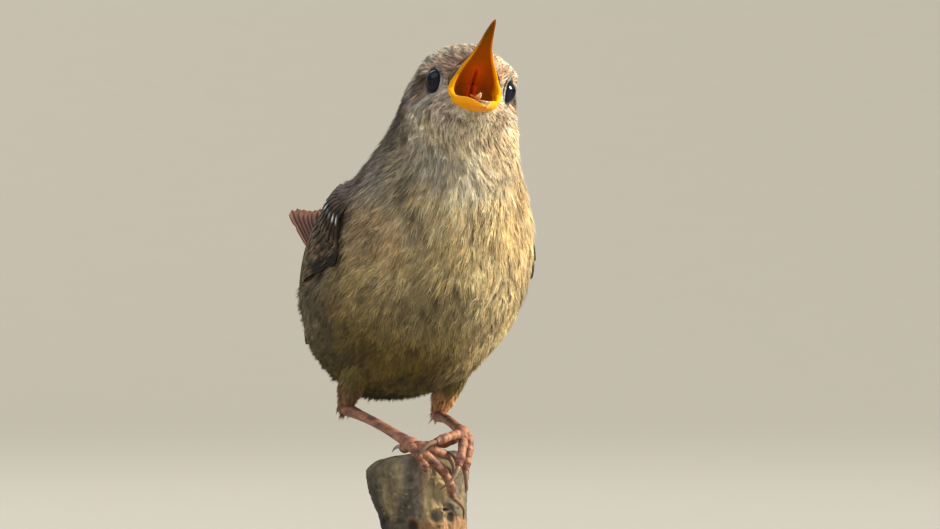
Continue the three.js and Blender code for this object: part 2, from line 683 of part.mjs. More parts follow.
// Solid turned on the Z axis from a profile of [radius, height] points
function turned(profile, segments) {
  const lathe = new THREE.LatheGeometry(profile.map(([r, z]) => new THREE.Vector2(r, z)), segments);
  return solidOfGeometry(lathe.rotateX(Math.PI / 2));
}

function standBase() {
  const [r, h, b] = [BASE_RADIUS, BASE_HEIGHT, BASE_BEVEL];
  const cove = 0.55 * h;
  const side = [[r - 0.5 * b, 0], [r, 0.5 * b], [r, cove - b], [r - b, cove], [r - 1.4 * b, h - 0.6 * b], [r - 2 * b, h]];
  return turned([[0, 0], ...side, [0, h]], 40);
}

function standRod() {
  const [from, to] = [BASE_HEIGHT + GAP, BASE_HEIGHT + ROD_LENGTH - GAP];
  const collar = ROD_RADIUS + 1.6;
  return turned([[0, from], [collar, from], [collar, from + 0.8], [ROD_RADIUS, from + 1.6], [ROD_RADIUS, to], [0, to]], 24);
}

// Putting it together

const root = new THREE.Group();
const bird = new THREE.Group();
bird.position.z = PERCH_TOP;
root.add(bird);

const body = wholeBody();
const bodyRoom = wholeBody(GAP * 1.15);
const eyeSockets = fuse([-1, 1].map((side) => ball(eyeCentre(side), EYE_RADIUS + GAP, 16, 10)));
const perchRoom = perch(GAP * 1.1);
const upperRoom = upperBill(GAP * 1.5);
const lowerRoom = lowerBill(GAP * 1.5);

const head = body.subtract(cutter(HEAD_FROM, false)).add(lids(-1)).add(lids(1));
const headCut = head.subtract(eyeSockets).subtract(upperRoom).subtract(lowerRoom);
const upper = upperBill().subtract(billHollow(headPoint, UPPER_BILL)).subtract(eyeSockets);
const lower = lowerBill().subtract(billHollow(lowerBillPoint, LOWER_BILL)).subtract(upperRoom);
const nostrils = fuse([nostril(-1), nostril(1)]);

const pieces = [
  ["torso", body.subtract(cutter(NECK_FROM, true)), PLUMAGE_PALE],
  ["neck", body.subtract(cutter(NECK_FROM, false)).subtract(cutter(HEAD_FROM, true)), PLUMAGE_PALE],
  ["head", headCut, PLUMAGE_BROWN],
  ["eye_right", ball(eyeCentre(-1), EYE_RADIUS, 16, 10), EYE_DARK],
  ["eye_left", ball(eyeCentre(1), EYE_RADIUS, 16, 10), EYE_DARK],
  ["bill_upper", upper.subtract(nostrils), BILL_OUTER],
  ["bill_lower", lower, BILL_OUTER],
  ["tongue", tongue(), MOUTH_FLESH],
  ["wing_right", wing(-1), WING_BROWN],
  ["wing_left", wing(1), WING_BROWN],
  ["tail", tail().subtract(bodyRoom), WING_BROWN],
];
["right", "left"].forEach((side, leg) => {
  const footRoom = foot(leg, GAP);
  pieces.push(
    [`thigh_${side}`, thigh(leg).subtract(bodyRoom), PLUMAGE_BROWN],
    [`shank_${side}`, shank(leg).subtract(thigh(leg, GAP)).subtract(footRoom), LEG_FLESH],
    [`foot_${side}`, foot(leg).subtract(perchRoom), LEG_FLESH],
  );
  for (const digit of Object.keys(TOES[leg]))
    pieces.push([`claw_${side}_${digit}`, claw(leg, digit).subtract(toe(leg, digit, GAP)).subtract(perchRoom), CLAW_HORN]);
});
for (const [name, solid, material] of pieces) bird.add(meshOf(name, solid, material));
bird.add(meshOf("perch", perch(), BARK));
root.add(meshOf("stand_base", standBase(), STAND_WOOD));
root.add(meshOf("stand_rod", standRod(), STAND_BRASS));

export default root;
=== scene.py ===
"""A singing wren at life size on the top of a cut stick, held by a small round display stand.

Lengths in the formulas are millimetres, and are turned into metres when a mesh is made. +Z is up, the breast
faces -Y and the bird's left side is +X. A place on the body is v, the share of the way from the rump to the
face, and an angle from the middle of the back, positive on the left.
"""

import math

import bpy
import numpy as np
from bpy.props import FloatProperty, FloatVectorProperty, IntProperty, PointerProperty
from bpy.types import Operator, Panel, PropertyGroup
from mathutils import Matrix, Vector


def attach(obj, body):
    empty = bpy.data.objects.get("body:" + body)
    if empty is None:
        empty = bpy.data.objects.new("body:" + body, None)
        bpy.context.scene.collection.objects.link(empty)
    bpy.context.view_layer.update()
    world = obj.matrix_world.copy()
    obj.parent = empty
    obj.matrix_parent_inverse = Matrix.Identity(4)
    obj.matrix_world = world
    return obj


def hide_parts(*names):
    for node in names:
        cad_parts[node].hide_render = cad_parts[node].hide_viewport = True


bl_info = {
    "name": "Singing Wren",
    "version": (1, 0, 0),
    "blender": (4, 5, 0),
    "location": "View3D > Sidebar > Wren",
    "description": "Builds a life-size singing wren on a stick, with its coat of modelled feathers",
    "category": "Object",
}

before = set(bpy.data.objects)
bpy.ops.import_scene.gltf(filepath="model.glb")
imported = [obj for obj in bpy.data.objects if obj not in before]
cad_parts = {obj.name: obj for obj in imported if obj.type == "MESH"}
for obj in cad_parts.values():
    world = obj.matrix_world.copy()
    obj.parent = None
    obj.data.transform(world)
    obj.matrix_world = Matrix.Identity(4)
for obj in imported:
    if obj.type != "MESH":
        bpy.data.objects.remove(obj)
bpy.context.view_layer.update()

MM = 0.001
SIDES = ((-1, "right"), (1, "left"))
PERCH_TOP = 47.0
PERCH_LENGTH = 27.0

# Body stations from the rump to the face, evenly spaced along the body
BODY = {
    "x": [-0.1, 0, 0.4, 0.6, 0.9, 1, 0.8, 0.5, 0.2, 0, -0.3, -2.3],
    "y": [20.8, 15.5, 9.7, 3.9, -1.4, -5.9, -9.5, -12, -14, -16.3, -19.2, -25.9],
    "z": [13, 18, 23, 28.5, 34.5, 40.3, 46, 51, 55.3, 58.9, 61.2, 61.8],
    "pitch": [40, 42, 43, 45, 49, 53, 57, 57, 52, 45, 40, 24],
    "turn": [0, 0, 0, 0, 0, 0, 0, 0, -4, -9, -10.8, -10.8],
    "roll": [0, 0, 0, 0, 0, 0, 0, 0, -4, -9, -10.6, -10.6],
    "wide": [10.4, 13, 16.7, 18.3, 17.8, 15.6, 12.8, 10.6, 9.6, 8.7, 7.8, 4.6],
    "back": [7.6, 10.2, 13.8, 15.8, 15.5, 14.2, 12.9, 11.6, 10.6, 9.3, 7.8, 4.75],
    "breast": [8.8, 11.5, 16.2, 18.6, 18.8, 16.9, 14.6, 12.7, 11.7, 10.6, 9.4, 4.75],
    "setback": [0, 0, 0, 0, 0, 0, 0, 0, 0, 0, 0.4, 4.3],
}
BODY_LENGTH = 75
REAR_CLOSING = 0.1
RUMP_END = 0.02
COAT_DEPTH = 1.5

# Head: the point midway between the eyes, how the head is held, and the eyes in its frame
EYE_MIDDLE = np.array([0, -18.5, 61.2])
HEAD_HELD = (-10.8, 42.4, -11.6)
EYE_RADIUS = 2.3
CORNEA_BULGE = 0.12
EYE_PLACE = (-0.5, -0.95, 5.25)
EYE_AXIS = (0.27, -0.33, 0.9)
EYE_RIM = 0.95
EYE_RIM_REACH = 3.7
LID_RADIUS = 2.05
LID_HEIGHT = 1.12
BROW_PLACE = (0.8, 3.3, 0.9)
BROW_RISE = 0.75
BROW_REACH = 2.3

# Bill stations from the gape to the tip
UPPER_BILL = {
    "along": [1.2, 2.7, 4.3, 6, 8, 10.6, 13.5, 16.2, 18.3],
    "edge": [-5.1, -4.5, -3.75, -3.1, -2.65, -2.4, -2.55, -3.1, -3.85],
    "ridge": [-1.0, -0.9, -0.9, -0.9, -0.9, -1.1, -1.65, -2.55, -3.6],
    "wide": [4.0, 4.2, 3.6, 2.8, 1.9, 1.15, 0.75, 0.42, 0.15],
}
LOWER_BILL = {
    "along": [-1.0, 1.0, 3.0, 5.0, 7.5, 10.0, 12.5, 14.6],
    "edge": [-0.2, -0.8, -0.9, -0.5, -0.1, 0, 0, 0],
    "ridge": [-2.6, -2.9, -2.8, -2.4, -1.8, -1.35, -0.9, -0.45],
    "wide": [4.1, 4.1, 3.7, 3.0, 2.2, 1.45, 0.85, 0.2],
}
BILL_ROWS, BILL_OUTER, BILL_INNER = 90, 48, 40
GAPE = (2.3, -4.9)
LOWER_BILL_DROP = math.radians(53.5)
NOSTRIL = 9.8
TONGUE_LENGTH = 6.8
FRONTAL_REACH = 0.46

# Rings that close the skin inside the mouth: how far in, share of the face's ring, share of its setback
MOUTH_RINGS = ((0.6, 0.88, 1.0), (3.0, 0.88, 0.6), (6.0, 0.86, 0.3), (8.4, 0.75, 0.0), (8.8, 0.2, 0.0))

# Folded wing: where it runs along the body, its edges as angles down from the back, how much lower its lower
# edge hangs on the right and on the left, how far it lies off the body, and the band along its length that is
# shaded where it goes in under the flank, with its depth in degrees
WING_FROM, WING_TO = 0.44, 0.01
WING_TOP = [58, 43, 35, 31, 29.5, 29, 29.5, 31, 34, 39, 46]
WING_BOTTOM = [76, 90, 100, 95, 84, 75, 69, 65, 62, 59, 52]
WING_DROOP = (0.0, 13.0)
WING_CLEAR = 0.25
WING_SLOT = (0.13, 0.2, 0.34, 0.42)
WING_SLOT_DEGREES = 9.0

# Washes of colour on the coat, some of them painted shade: the shoulder washes, the grey and the olive ones
# on the right side of throat and breast, and a dark one in a parting on the right of the neck. Each has its
# place along the body and round it in degrees, reach along and across in millimetres, colour and strength
WASHES = [
    # Painted shade at both shoulders, where the wings meet the neck
    (0.45, -70, 9, 7, "shoulder", 0.85),
    (0.45, 74, 9, 6, "shoulder", 0.8),
    # Painted shade: grey on the shaded right side of the throat and the neck
    (0.71, -131, 6, 4.5, "painted_shade_grey", 0.55),
    (0.58, -88, 5, 4, "painted_shade_grey", 0.45),
    (0.49, -110, 5, 6, "tan", 0.55),
    (0.52, 143, 8, 4, "tan", 0.5),
    # Painted shade: olive on the shaded right side of the breast
    (0.45, -150, 8, 6, "olive", 0.45),
    (0.37, 158, 9, 6, "breast", 0.75),
    (0.74, 140, 8, 5, "tan", 0.5),
    (0.18, -130, 5, 5, "bar", 0.45),
    (0.26, -107, 5, 4, "bar", 0.3),
    (0.398, 120, 1.5, 0.9, "bar", 0.85),
    (0.381, 128, 1.2, 0.9, "bar", 0.8),
    (0.390, 124, 0.8, 0.6, "brow", 0.7),
    (0.365, 151, 1.5, 0.7, "bar", 0.7),
    # Painted shade in a parting of the feathers on the right of the neck
    (0.605, -115, 2.2, 0.7, "bar", 0.8),
    (0.56, -125, 1.6, 0.6, "bar", 0.5),
]

# Rows of wing feathers from the lowest to the uppermost: roots and tips of the first and the last feather,
# half width, height of the row, and how it is marked
WING_ROWS = [
    (9, ((0.1, 0.86), (0.15, 0.7)), ((0.8, 0.99), (1.0, 0.45)), 2.1, 0.0, "barred"),
    (6, ((0.1, 0.66), (0.15, 0.38)), ((0.9, 0.6), (0.8, 0.32)), 2.3, 0.15, "barred"),
    (3, ((0.1, 0.32), (0.15, 0.16)), ((0.86, 0.2), (0.62, 0.1)), 2.5, 0.3, "barred"),
    (10, ((0.02, 0.92), (0.06, 0.14)), ((0.25, 0.95), (0.34, 0.08)), 1.5, 0.38, "tipped"),
    (12, ((-0.02, 0.92), (0.04, 0.14)), ((0.165, 0.97), (0.23, 0.08)), 1.25, 0.58, "tipped"),
    (8, ((-0.06, 0.92), (0.0, 0.14)), ((0.09, 0.97), (0.18, 0.08)), 1.4, 0.78, "spotted"),
]
BAR_SPACING = 3.1
VANE_COLUMNS = 11

# Tail: its root, how steeply it is cocked, its pairs of feathers and the degrees between them, and the swing
# and the length of the coverts at its base
TAIL_ROOT = np.array([0, 19.0, 14.6])
TAIL_COCK = math.radians(57)
TAIL_LENGTH = 30.8
TAIL_PAIRS = 6
TAIL_FAN = 1.3
TAIL_COVERTS = ((2, 13), (6, 11.5), (10, 9.5), (3, 9))

# Legs, right one first
ANKLES = np.array([[-8.85, 10, 6.9], [8.85, 10, 5.6]])
KNEE_FROM_ANKLE = np.array([[0, 0, 0], [0, -2.8, 4], [0.3, -7, 8.6], [0.6, -10, 12.4]])
FEET = np.array([[-4.6, -6.1, 1.1], [5.0, -6.0, 2.9]])
THIGH_RADII = [1.35, 2.2, 2.6, 2.9, 3.3, 3.8]
THIGH_LENGTH = 17.0
THIGH_COAT = 0.45
FEATHER_PATCH = (0.0012, 0.0024)
SHANK_RADII = [1.2, 0.86, 0.8, 0.84, 1.05]
FOOT_RADIUS = 1.25
TOE_RADII = [1.15, 0.92, 1.06, 0.88, 1.04, 0.86, 0.98, 0.74]
TOE_RADIUS = 0.82
TOE_SCUTE = 1.05
CLAW_RADII = [1.0, 0.95, 0.8, 0.62, 0.38, 0.08]
CLAW_RADIUS = 0.5

# Toe routes after the foot, as angle round the stick, distance out from its middle line and height, and the
# route of each claw after its toe
TOES = [
    {
        "outer": (
            [(-32, 9.9, 0.1), (-25, 10.1, -1.3), (-19.5, 9.9, -3.2)],
            [(-20, 9.9, -4.6), (-26, 9.7, -6.4), (-34, 9.3, -7.8)],
        ),
        "middle": (
            [(-24, 9.9, -0.2), (-6.4, 10.0, -2.9), (5, 9.7, -5.7), (8.5, 9.3, -7.6)],
            [(14, 9.1, -8.2), (24, 8.8, -9.6), (27, 8.1, -11.5)],
        ),
        "inner": (
            [(-22, 9.4, 0.7), (-10, 9.7, 0), (4, 9.3, -0.9)],
            [(8, 9.4, -1.8), (11, 9.3, -3.2), (11, 9.1, -4.8)],
        ),
        "hind": (
            [(-60, 4.2, 0.4), (-150, 3.2, 0.4)],
            [(-168, 5.2, 0.5), (-172, 7, 0.1), (-174, 8.2, -0.6)],
        ),
    },
    {
        "outer": (
            [(31, 9.7, 1.6), (25.5, 10.2, -0.4), (21.5, 10.1, -3.2)],
            [(21.5, 10.3, -4.4), (23, 10.1, -5.8), (25.5, 9.6, -7)],
        ),
        "middle": (
            [(15, 10.8, 1.4), (8, 12.0, -0.6), (5, 12.1, -2.4)],
            [(2, 12.4, -3.6), (-3, 12.3, -5), (-11, 11.7, -6.4)],
        ),
        "inner": (
            [(16, 10.0, 2.8), (-1, 11.0, 2.4), (-14, 11.8, 1.6)],
            [(-20, 12.2, 1.2), (-25, 12.3, 0.2), (-31, 12.0, -1.2)],
        ),
        "hind": (
            [(62, 4.8, 1.3), (124, 4.4, 0.9)],
            [(142, 5.4, 1.0), (154, 7.0, 0.5), (160, 8.2, -0.2)],
        ),
    },
]

# Stick
VIEW_TURN = math.radians(28)
VIEW_RIGHT = np.array([math.cos(VIEW_TURN), -math.sin(VIEW_TURN), 0])
PERCH_RADII = [6.6, 6.7, 6.8, 6.9, 7.4, 8.2, 8.7, 8.6]
PERCH_LEAN = [0.2, 0.5, 0.8, 0.95, 0.8, 0.1, 0, 0]
PERCH_TOP_LEVEL = -0.6
PERCH_TOP_SLANT = 0.085
PERCH_SIDE_TOP = -3.6
PERCH_CORNER = 2.4
PEEL_TOP = 11.2

# Knots, hole and slit in the bark: degrees round the stick, height, half width and half height
KNOTS = [
    (349, -10.8, 1.3, 1.2),
    (10.5, -11.1, 0.72, 0.82),
    (317, -12.6, 1.0, 1.1),
    (2, -9.75, 0.75, 0.3),
]

# Camera, as the photograph was taken
VIEW_AZIMUTH = math.radians(-28)
VIEW_TARGET = (0.0075, -0.004, 0.0779)
VIEW_DISTANCE = 1.306
VIEW_LENS = 300


# Numbers


def spline(values, t):
    """Smooth curve through evenly spaced values: cubics whose slope at a value is half the step across it."""
    values = np.asarray(values, float)
    last = len(values) - 1
    s = np.clip(t, 0, 1) * last
    i = np.minimum(np.floor(s).astype(int), last - 1)
    f = s - i
    a, b = values[np.maximum(i - 1, 0)], values[i]
    c, d = values[i + 1], values[np.minimum(i + 2, last)]
    return b + 0.5 * f * (c - a + f * (2 * a - 5 * b + 4 * c - d + f * (3 * (b - c) + d - a)))


def smooth(x, low, high):
    """Share that rises from 0 at low to 1 at high along 3t^2 - 2t^3."""
    t = np.clip((x - low) / (high - low), 0, 1)
    return t * t * (3 - 2 * t)


def bell(x, middle, reach):
    """Bell curve: e to the power of minus the square of the distance from the middle over the reach."""
    return np.exp(-(((x - middle) / reach) ** 2))


def unit(v):
    """Vectors divided by their lengths."""
    return v / np.maximum(np.linalg.norm(v, axis=-1, keepdims=True), 1e-12)


def mix(a, b, share):
    """Colour or point that share of the way from a to b."""
    share = np.asarray(share)[..., None]
    return np.asarray(a) * (1 - share) + np.asarray(b) * share


def crossed(a, b):
    """Two grids that pair every value of a with every value of b."""
    return np.meshgrid(a, b, indexing="ij")


def circle(count):
    """Even angles once round."""
    return np.linspace(0, 2 * np.pi, count, endpoint=False)


def hashed(i, j, k, seed):
    """Repeatable number from 0 to 1 for each whole-number lattice point."""
    n = (i * 73856093) ^ (j * 19349663) ^ (k * 83492791) ^ (seed * 2654435761)
    n = (n ^ (n >> 13)) * 1274126177
    return ((n ^ (n >> 16)) & 0xFFFF) / 65535.0


def noise(p, size, seed=0):
    """Value noise from -1 to 1: lattice numbers a size apart, blended smoothly between the 8 corners round a
    point."""
    q = np.asarray(p) / size
    base = np.floor(q).astype(np.int64)
    f = q - base
    f = f * f * (3 - 2 * f)
    total = 0
    for dx in (0, 1):
        for dy in (0, 1):
            for dz in (0, 1):
                corner = hashed(base[..., 0] + dx, base[..., 1] + dy, base[..., 2] + dz, seed)
                weight = np.abs(1 - dx - f[..., 0]) * np.abs(1 - dy - f[..., 1]) * np.abs(1 - dz - f[..., 2])
                total = total + corner * weight
    return 2 * total - 1


def drawn_up(p, scale):
    """Points with their heights scaled down, so that noise at them is drawn out upright."""
    return p * np.array([1, 1, scale])


def frames_of(turn, pitch, roll):
    """Forward, left and up of something turned, pitched up and rolled, in degrees."""
    t, p, r = (np.radians(np.asarray(x, float)) for x in (turn, pitch, roll))
    forward = np.stack([np.sin(t) * np.cos(p), -np.cos(t) * np.cos(p), np.sin(p)], -1)
    level = np.stack([np.cos(t), np.sin(t), np.zeros_like(t)], -1)
    above = np.cross(forward, level)
    left = level * np.cos(r)[..., None] + above * np.sin(r)[..., None]
    return forward, left, np.cross(forward, left)


def curve_through(points, steps):
    """Evenly stepped points and unit tangents of the smooth curve through points, in pieces that are cubics
    with knots spaced by the square root of the distance."""
    p = np.asarray(points, float)
    p = np.concatenate([[2 * p[0] - p[1]], p, [2 * p[-1] - p[-2]]])
    knots = np.concatenate([[0], np.cumsum(np.sqrt(np.linalg.norm(np.diff(p, axis=0), axis=1)))])
    pieces = []
    for k in range(1, len(p) - 2):
        t = np.linspace(knots[k], knots[k + 1], 40, endpoint=k == len(p) - 3)[:, None]
        a, b, c, d = (p[k + m] for m in (-1, 0, 1, 2))
        ta, tb, tc, td = (knots[k + m] for m in (-1, 0, 1, 2))
        ab = a * (tb - t) / (tb - ta) + b * (t - ta) / (tb - ta)
        bc = b * (tc - t) / (tc - tb) + c * (t - tb) / (tc - tb)
        cd = c * (td - t) / (td - tc) + d * (t - tc) / (td - tc)
        abc = ab * (tc - t) / (tc - ta) + bc * (t - ta) / (tc - ta)
        bcd = bc * (td - t) / (td - tb) + cd * (t - tb) / (td - tb)
        pieces.append(abc * (tc - t) / (tc - tb) + bcd * (t - tb) / (tc - tb))
    fine = np.concatenate(pieces)
    run = np.concatenate([[0], np.cumsum(np.linalg.norm(np.diff(fine, axis=0), axis=1))])
    at = np.linspace(0, run[-1], steps + 1)
    path = np.stack([np.interp(at, run, fine[:, k]) for k in range(3)], -1)
    return path, unit(np.gradient(path, axis=0))


# Meshes


def make_mesh(name, points, triangles, colour, bake_uv=None):
    """Smooth mesh object from points in millimetres, triangles, and a colour at each point."""
    mesh = bpy.data.meshes.new(name)
    points = np.asarray(points, float).reshape(-1, 3)
    triangles = np.asarray(triangles, np.int32).reshape(-1, 3)
    mesh.vertices.add(len(points))
    mesh.vertices.foreach_set("co", (points * MM).astype(np.float32).ravel())
    mesh.loops.add(triangles.size)
    mesh.loops.foreach_set("vertex_index", triangles.ravel())
    mesh.polygons.add(len(triangles))
    mesh.polygons.foreach_set("loop_start", np.arange(len(triangles), dtype=np.int32) * 3)
    mesh.polygons.foreach_set("use_smooth", np.ones(len(triangles), bool))
    mesh.update(calc_edges=True)
    rgba = np.ones((len(points), 4), np.float32)
    rgba[:, :3] = np.clip(np.asarray(colour).reshape(-1, 3), 0, 1)
    layer = mesh.color_attributes.new("tint", "FLOAT_COLOR", "POINT")
    layer.data.foreach_set("color", rgba.ravel())
    if bake_uv is not None:
        layer = mesh.uv_layers.new(name="OFBake")
        corners = np.asarray(bake_uv, np.float32).reshape(-1, 2)[triangles.ravel()]
        layer.data.foreach_set("uv", corners.ravel())
    mesh.validate()
    made = bpy.data.objects.new(name, mesh)
    bpy.context.scene.collection.objects.link(made)
    return made


def grid_triangles(rows, columns, wrap, ring=False):
    """Triangles of a grid of points, closed round its columns if wrap and round its rows if ring."""
    i, j = crossed(np.arange(rows if ring else rows - 1), np.arange(columns if wrap else columns - 1))
    a, b = i * columns + j, i * columns + (j + 1) % columns
    c, d = ((corner + columns) % (rows * columns) for corner in (b, a))
    return np.concatenate([np.stack([a, b, c], -1), np.stack([a, c, d], -1)]).reshape(-1, 3)


def rounded(rings):
    """Points and triangles of rings closed at both ends to their middles."""
    rows, columns = rings.shape[:2]
    points = np.concatenate([rings.reshape(-1, 3), rings[0].mean(0)[None], rings[-1].mean(0)[None]])
    start, last = rows * columns, (rows - 1) * columns
    j = np.arange(columns)
    following = (j + 1) % columns
    first_cap = np.stack([np.full(columns, start), following, j], -1)
    last_cap = np.stack([np.full(columns, start + 1), last + j, last + following], -1)
    return points, np.concatenate([grid_triangles(rows, columns, True), first_cap, last_cap])


def capped(colour):
    """Colours of rings and of the two middles that close them."""
    return np.concatenate([colour.reshape(-1, 3), colour[0, :1], colour[-1, :1]])


def outward(points, triangles):
    """Triangles turned round if the closed shape they make is inside out, by the sign of its volume."""
    p = np.asarray(points).reshape(-1, 3)
    p = p - p.mean(0)
    a, b, c = (p[triangles[:, k]] for k in range(3))
    volume = np.einsum("ij,ij->i", a, np.cross(b, c)).sum()
    return triangles if volume > 0 else triangles[:, ::-1]


def plate(top, bottom):
    """Closed thin plate from its upper and lower grids of points."""
    rows, columns = top.shape[:2]
    points = np.concatenate([top.reshape(-1, 3), bottom.reshape(-1, 3)])
    sheet = grid_triangles(rows, columns, False)
    low = rows * columns
    rim = np.concatenate(
        [
            np.arange(columns),
            np.arange(1, rows) * columns + columns - 1,
            (rows - 1) * columns + np.arange(columns - 2, -1, -1),
            np.arange(rows - 2, 0, -1) * columns,
        ]
    )
    following = np.roll(rim, -1)
    walls = [np.stack([rim, following + low, following], -1), np.stack([rim, rim + low, following + low], -1)]
    return points, outward(points, np.concatenate([sheet, sheet[:, ::-1] + low, *walls]))


def plate_ring(inner, outer):
    """Closed wall between two stacks of rings, each closed at its far end and joined at the first ring."""
    rows, columns = inner.shape[:2]
    low, last = rows * columns, (rows - 1) * columns
    points = np.concatenate([inner.reshape(-1, 3), outer.reshape(-1, 3)])
    sheet = grid_triangles(rows, columns, True)
    j = np.arange(columns)
    following = (j + 1) % columns
    rim = [np.stack([j, j + low, following + low], -1), np.stack([j, following + low, following], -1)]
    fan = np.stack([np.full(columns - 2, last), last + j[1:-1], last + j[2:]], -1)
    faces = np.concatenate([sheet, fan, sheet[:, ::-1] + low, fan[:, ::-1] + low, *rim])
    return points, outward(points, faces)


def turned(profile, columns):
    """Solid turned on the Z axis: the profile's radius carried round, each point at its height."""
    profile = np.array(profile, float)
    angle = circle(columns)
    r, z = profile[:, :1], profile[:, 1:]
    height = np.broadcast_to(z, (len(profile), columns))
    points, triangles = rounded(np.stack([r * np.cos(angle), r * np.sin(angle), height], -1))
    return points, outward(points, triangles)


def arc(r, z, radius, start, end, steps=8):
    """Profile points along an arc, from start to end degrees."""
    angles = np.radians(np.linspace(start, end, steps))
    return [(r + radius * math.cos(angle), z + radius * math.sin(angle)) for angle in angles]


def tube(route, radii, sides, steps, dorsal, colour, shape=None):
    """Tube along the curve through a route, whose angle 0 faces dorsal. Its colour comes from the share along
    and the angle round, and so does its radius, changed by shape."""
    path, tangent = curve_through(route, steps)
    dorsal = np.broadcast_to(np.asarray(dorsal, float), path.shape)
    normal = unit(dorsal - (dorsal * tangent).sum(-1, keepdims=True) * tangent)[:, None]
    other = np.cross(tangent[:, None], normal)
    along, angle = crossed(np.linspace(0, 1, steps + 1), circle(sides))
    radius = spline(radii, along)
    if shape is not None:
        radius = shape(along, angle, radius)
    out, aside = (radius * turn(angle) for turn in (np.cos, np.sin))
    points, triangles = rounded(path[:, None] + normal * out[..., None] + other * aside[..., None])
    return points, outward(points, triangles), capped(colour(along, angle))


def joined(parts):
    """Points, triangles and colours of several (points, triangles, colours) as one."""
    offset, points, triangles, colours = 0, [], [], []
    for p, t, c in parts:
        p = np.asarray(p, float).reshape(-1, 3)
        points.append(p)
        triangles.append(np.asarray(t) + offset)
        colours.append(np.broadcast_to(np.asarray(c, float), (len(p), 3)))
        offset += len(p)
    return np.concatenate(points), np.concatenate(triangles), np.concatenate(colours)


def lifted(points):
    """Points of the bird or the stick moved from their own frame to the stand's."""
    return np.asarray(points, float) + np.array([0, 0, PERCH_TOP])


def show(made, material, slot, *nodes):
    """Gives a piece its material and body, and hides the nodes it stands for. slot is not used."""
    made.data.materials.append(material)
    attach(made, "root")
    if nodes:
        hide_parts(*nodes)


def show_parts(name, parts, material, slot, *nodes):
    """Joins parts of the bird or the stick into one piece and shows it."""
    points, triangles, colours = joined(parts)
    show(make_mesh(name, lifted(points), triangles, colours), material, slot, *nodes)


# Body


def body_table(steps=1600):
    """Fine table of the body's stations: middle, forward, left, up, the four sizes and the run for each v."""
    v = np.linspace(0, 1, steps)
    at = {name: spline(values, v) for name, values in BODY.items()}
    forward, left, up = frames_of(at["turn"], at["pitch"], at["roll"])
    middle = np.stack([at["x"], at["y"], at["z"]], -1)
    run = np.linalg.norm(np.gradient(middle, v, axis=0), axis=1)
    sizes = np.stack([at[name] for name in ("wide", "back", "breast", "setback")] + [run], -1)
    return np.concatenate([middle, forward, left, up, sizes], 1)


BODY_TABLE = body_table()


def body_at(v):
    """Middle, forward, left and up of the body at v, then its width, back, breast, setback and run, blended
    between the steps of the table."""
    s = np.clip(v, 0, 1) * (len(BODY_TABLE) - 1)
    i = np.minimum(s.astype(int), len(BODY_TABLE) - 2)
    f = (s - i)[..., None]
    row = BODY_TABLE[i] * (1 - f) + BODY_TABLE[i + 1] * f
    return [row[..., k : k + 3] for k in (0, 3, 6, 9)] + [row[..., k] for k in range(12, 17)]


HEAD_AHEAD, HEAD_LEFT, HEAD_UP = frames_of(*HEAD_HELD)


def head_point(along, up, left):
    """Point in the head's frame: along the bill line, up to the crown, and out to the bird's left."""
    along, up, left = (np.asarray(x, float)[..., None] for x in (along, up, left))
    return EYE_MIDDLE + HEAD_AHEAD * along + HEAD_UP * up + HEAD_LEFT * left


def eye_axis(side):
    """Direction in which an eye looks out."""
    along, up, left = EYE_AXIS
    return unit(HEAD_AHEAD * along + HEAD_UP * up + HEAD_LEFT * left * side)


def eye_centre(side):
    """Middle of an eyeball."""
    along, up, left = EYE_PLACE
    return head_point(along, up, left * side)


def from_eye(p, side):
    """Height of points along an eye's axis over the eye's middle, and their distance from that axis."""
    away = p - eye_centre(side)
    height = away @ eye_axis(side)
    return height, np.sqrt(np.maximum((away**2).sum(-1) - height**2, 0))


def shaped_at_eyes(p):
    """Skin raised along the brows, and drawn to the height of the lids where it lies over an eye."""
    for side, _ in SIDES:
        along, up, left = BROW_PLACE
        brow = eye_centre(side) + HEAD_AHEAD * along + HEAD_UP * up + HEAD_LEFT * left * side
        reach = np.linalg.norm(p - brow, axis=-1)
        p = p + HEAD_LEFT * (side * BROW_RISE * bell(reach, 0, BROW_REACH))[..., None]
        height, aside = from_eye(p, side)
        above = np.where(height > 0, height - EYE_RIM, 0)
        p = p - eye_axis(side) * (above * np.exp(-((aside / EYE_RIM_REACH) ** 4)))[..., None]
    return p


def body_point(v, angle, grow=0.0):
    """Point of the body: the section's middle, plus left times the width times the sine of the angle, plus up
    times the back or breast reach times the cosine, all grown outwards. Past the rump it runs straight on."""
    over = np.minimum(np.asarray(v) - RUMP_END, 0)
    v = np.maximum(v, RUMP_END)
    middle, forward, left, up, wide, back, breast, setback, run = body_at(v)
    short = 1 - np.minimum(v / REAR_CLOSING, 1)
    scale = np.sqrt(1 - short * short)
    sin, cos = np.sin(angle), np.cos(angle)
    out = (wide * scale + grow) * sin
    rise = (np.where(cos > 0, back, breast) * scale + grow) * cos
    ahead = over * run - setback * sin * sin - grow * np.maximum(1 - v / REAR_CLOSING, 0)
    return shaped_at_eyes(middle + left * out[..., None] + up * rise[..., None] + forward * ahead[..., None])


def coat_depth(v):
    """Depth of the coat from the skin to the feather tips: full on the body, thin at the face."""
    return COAT_DEPTH - 0.75 * smooth(v, 0.6, 0.8) - 0.4 * smooth(v, 0.85, 1.0)


# Markings shared by skin and coat


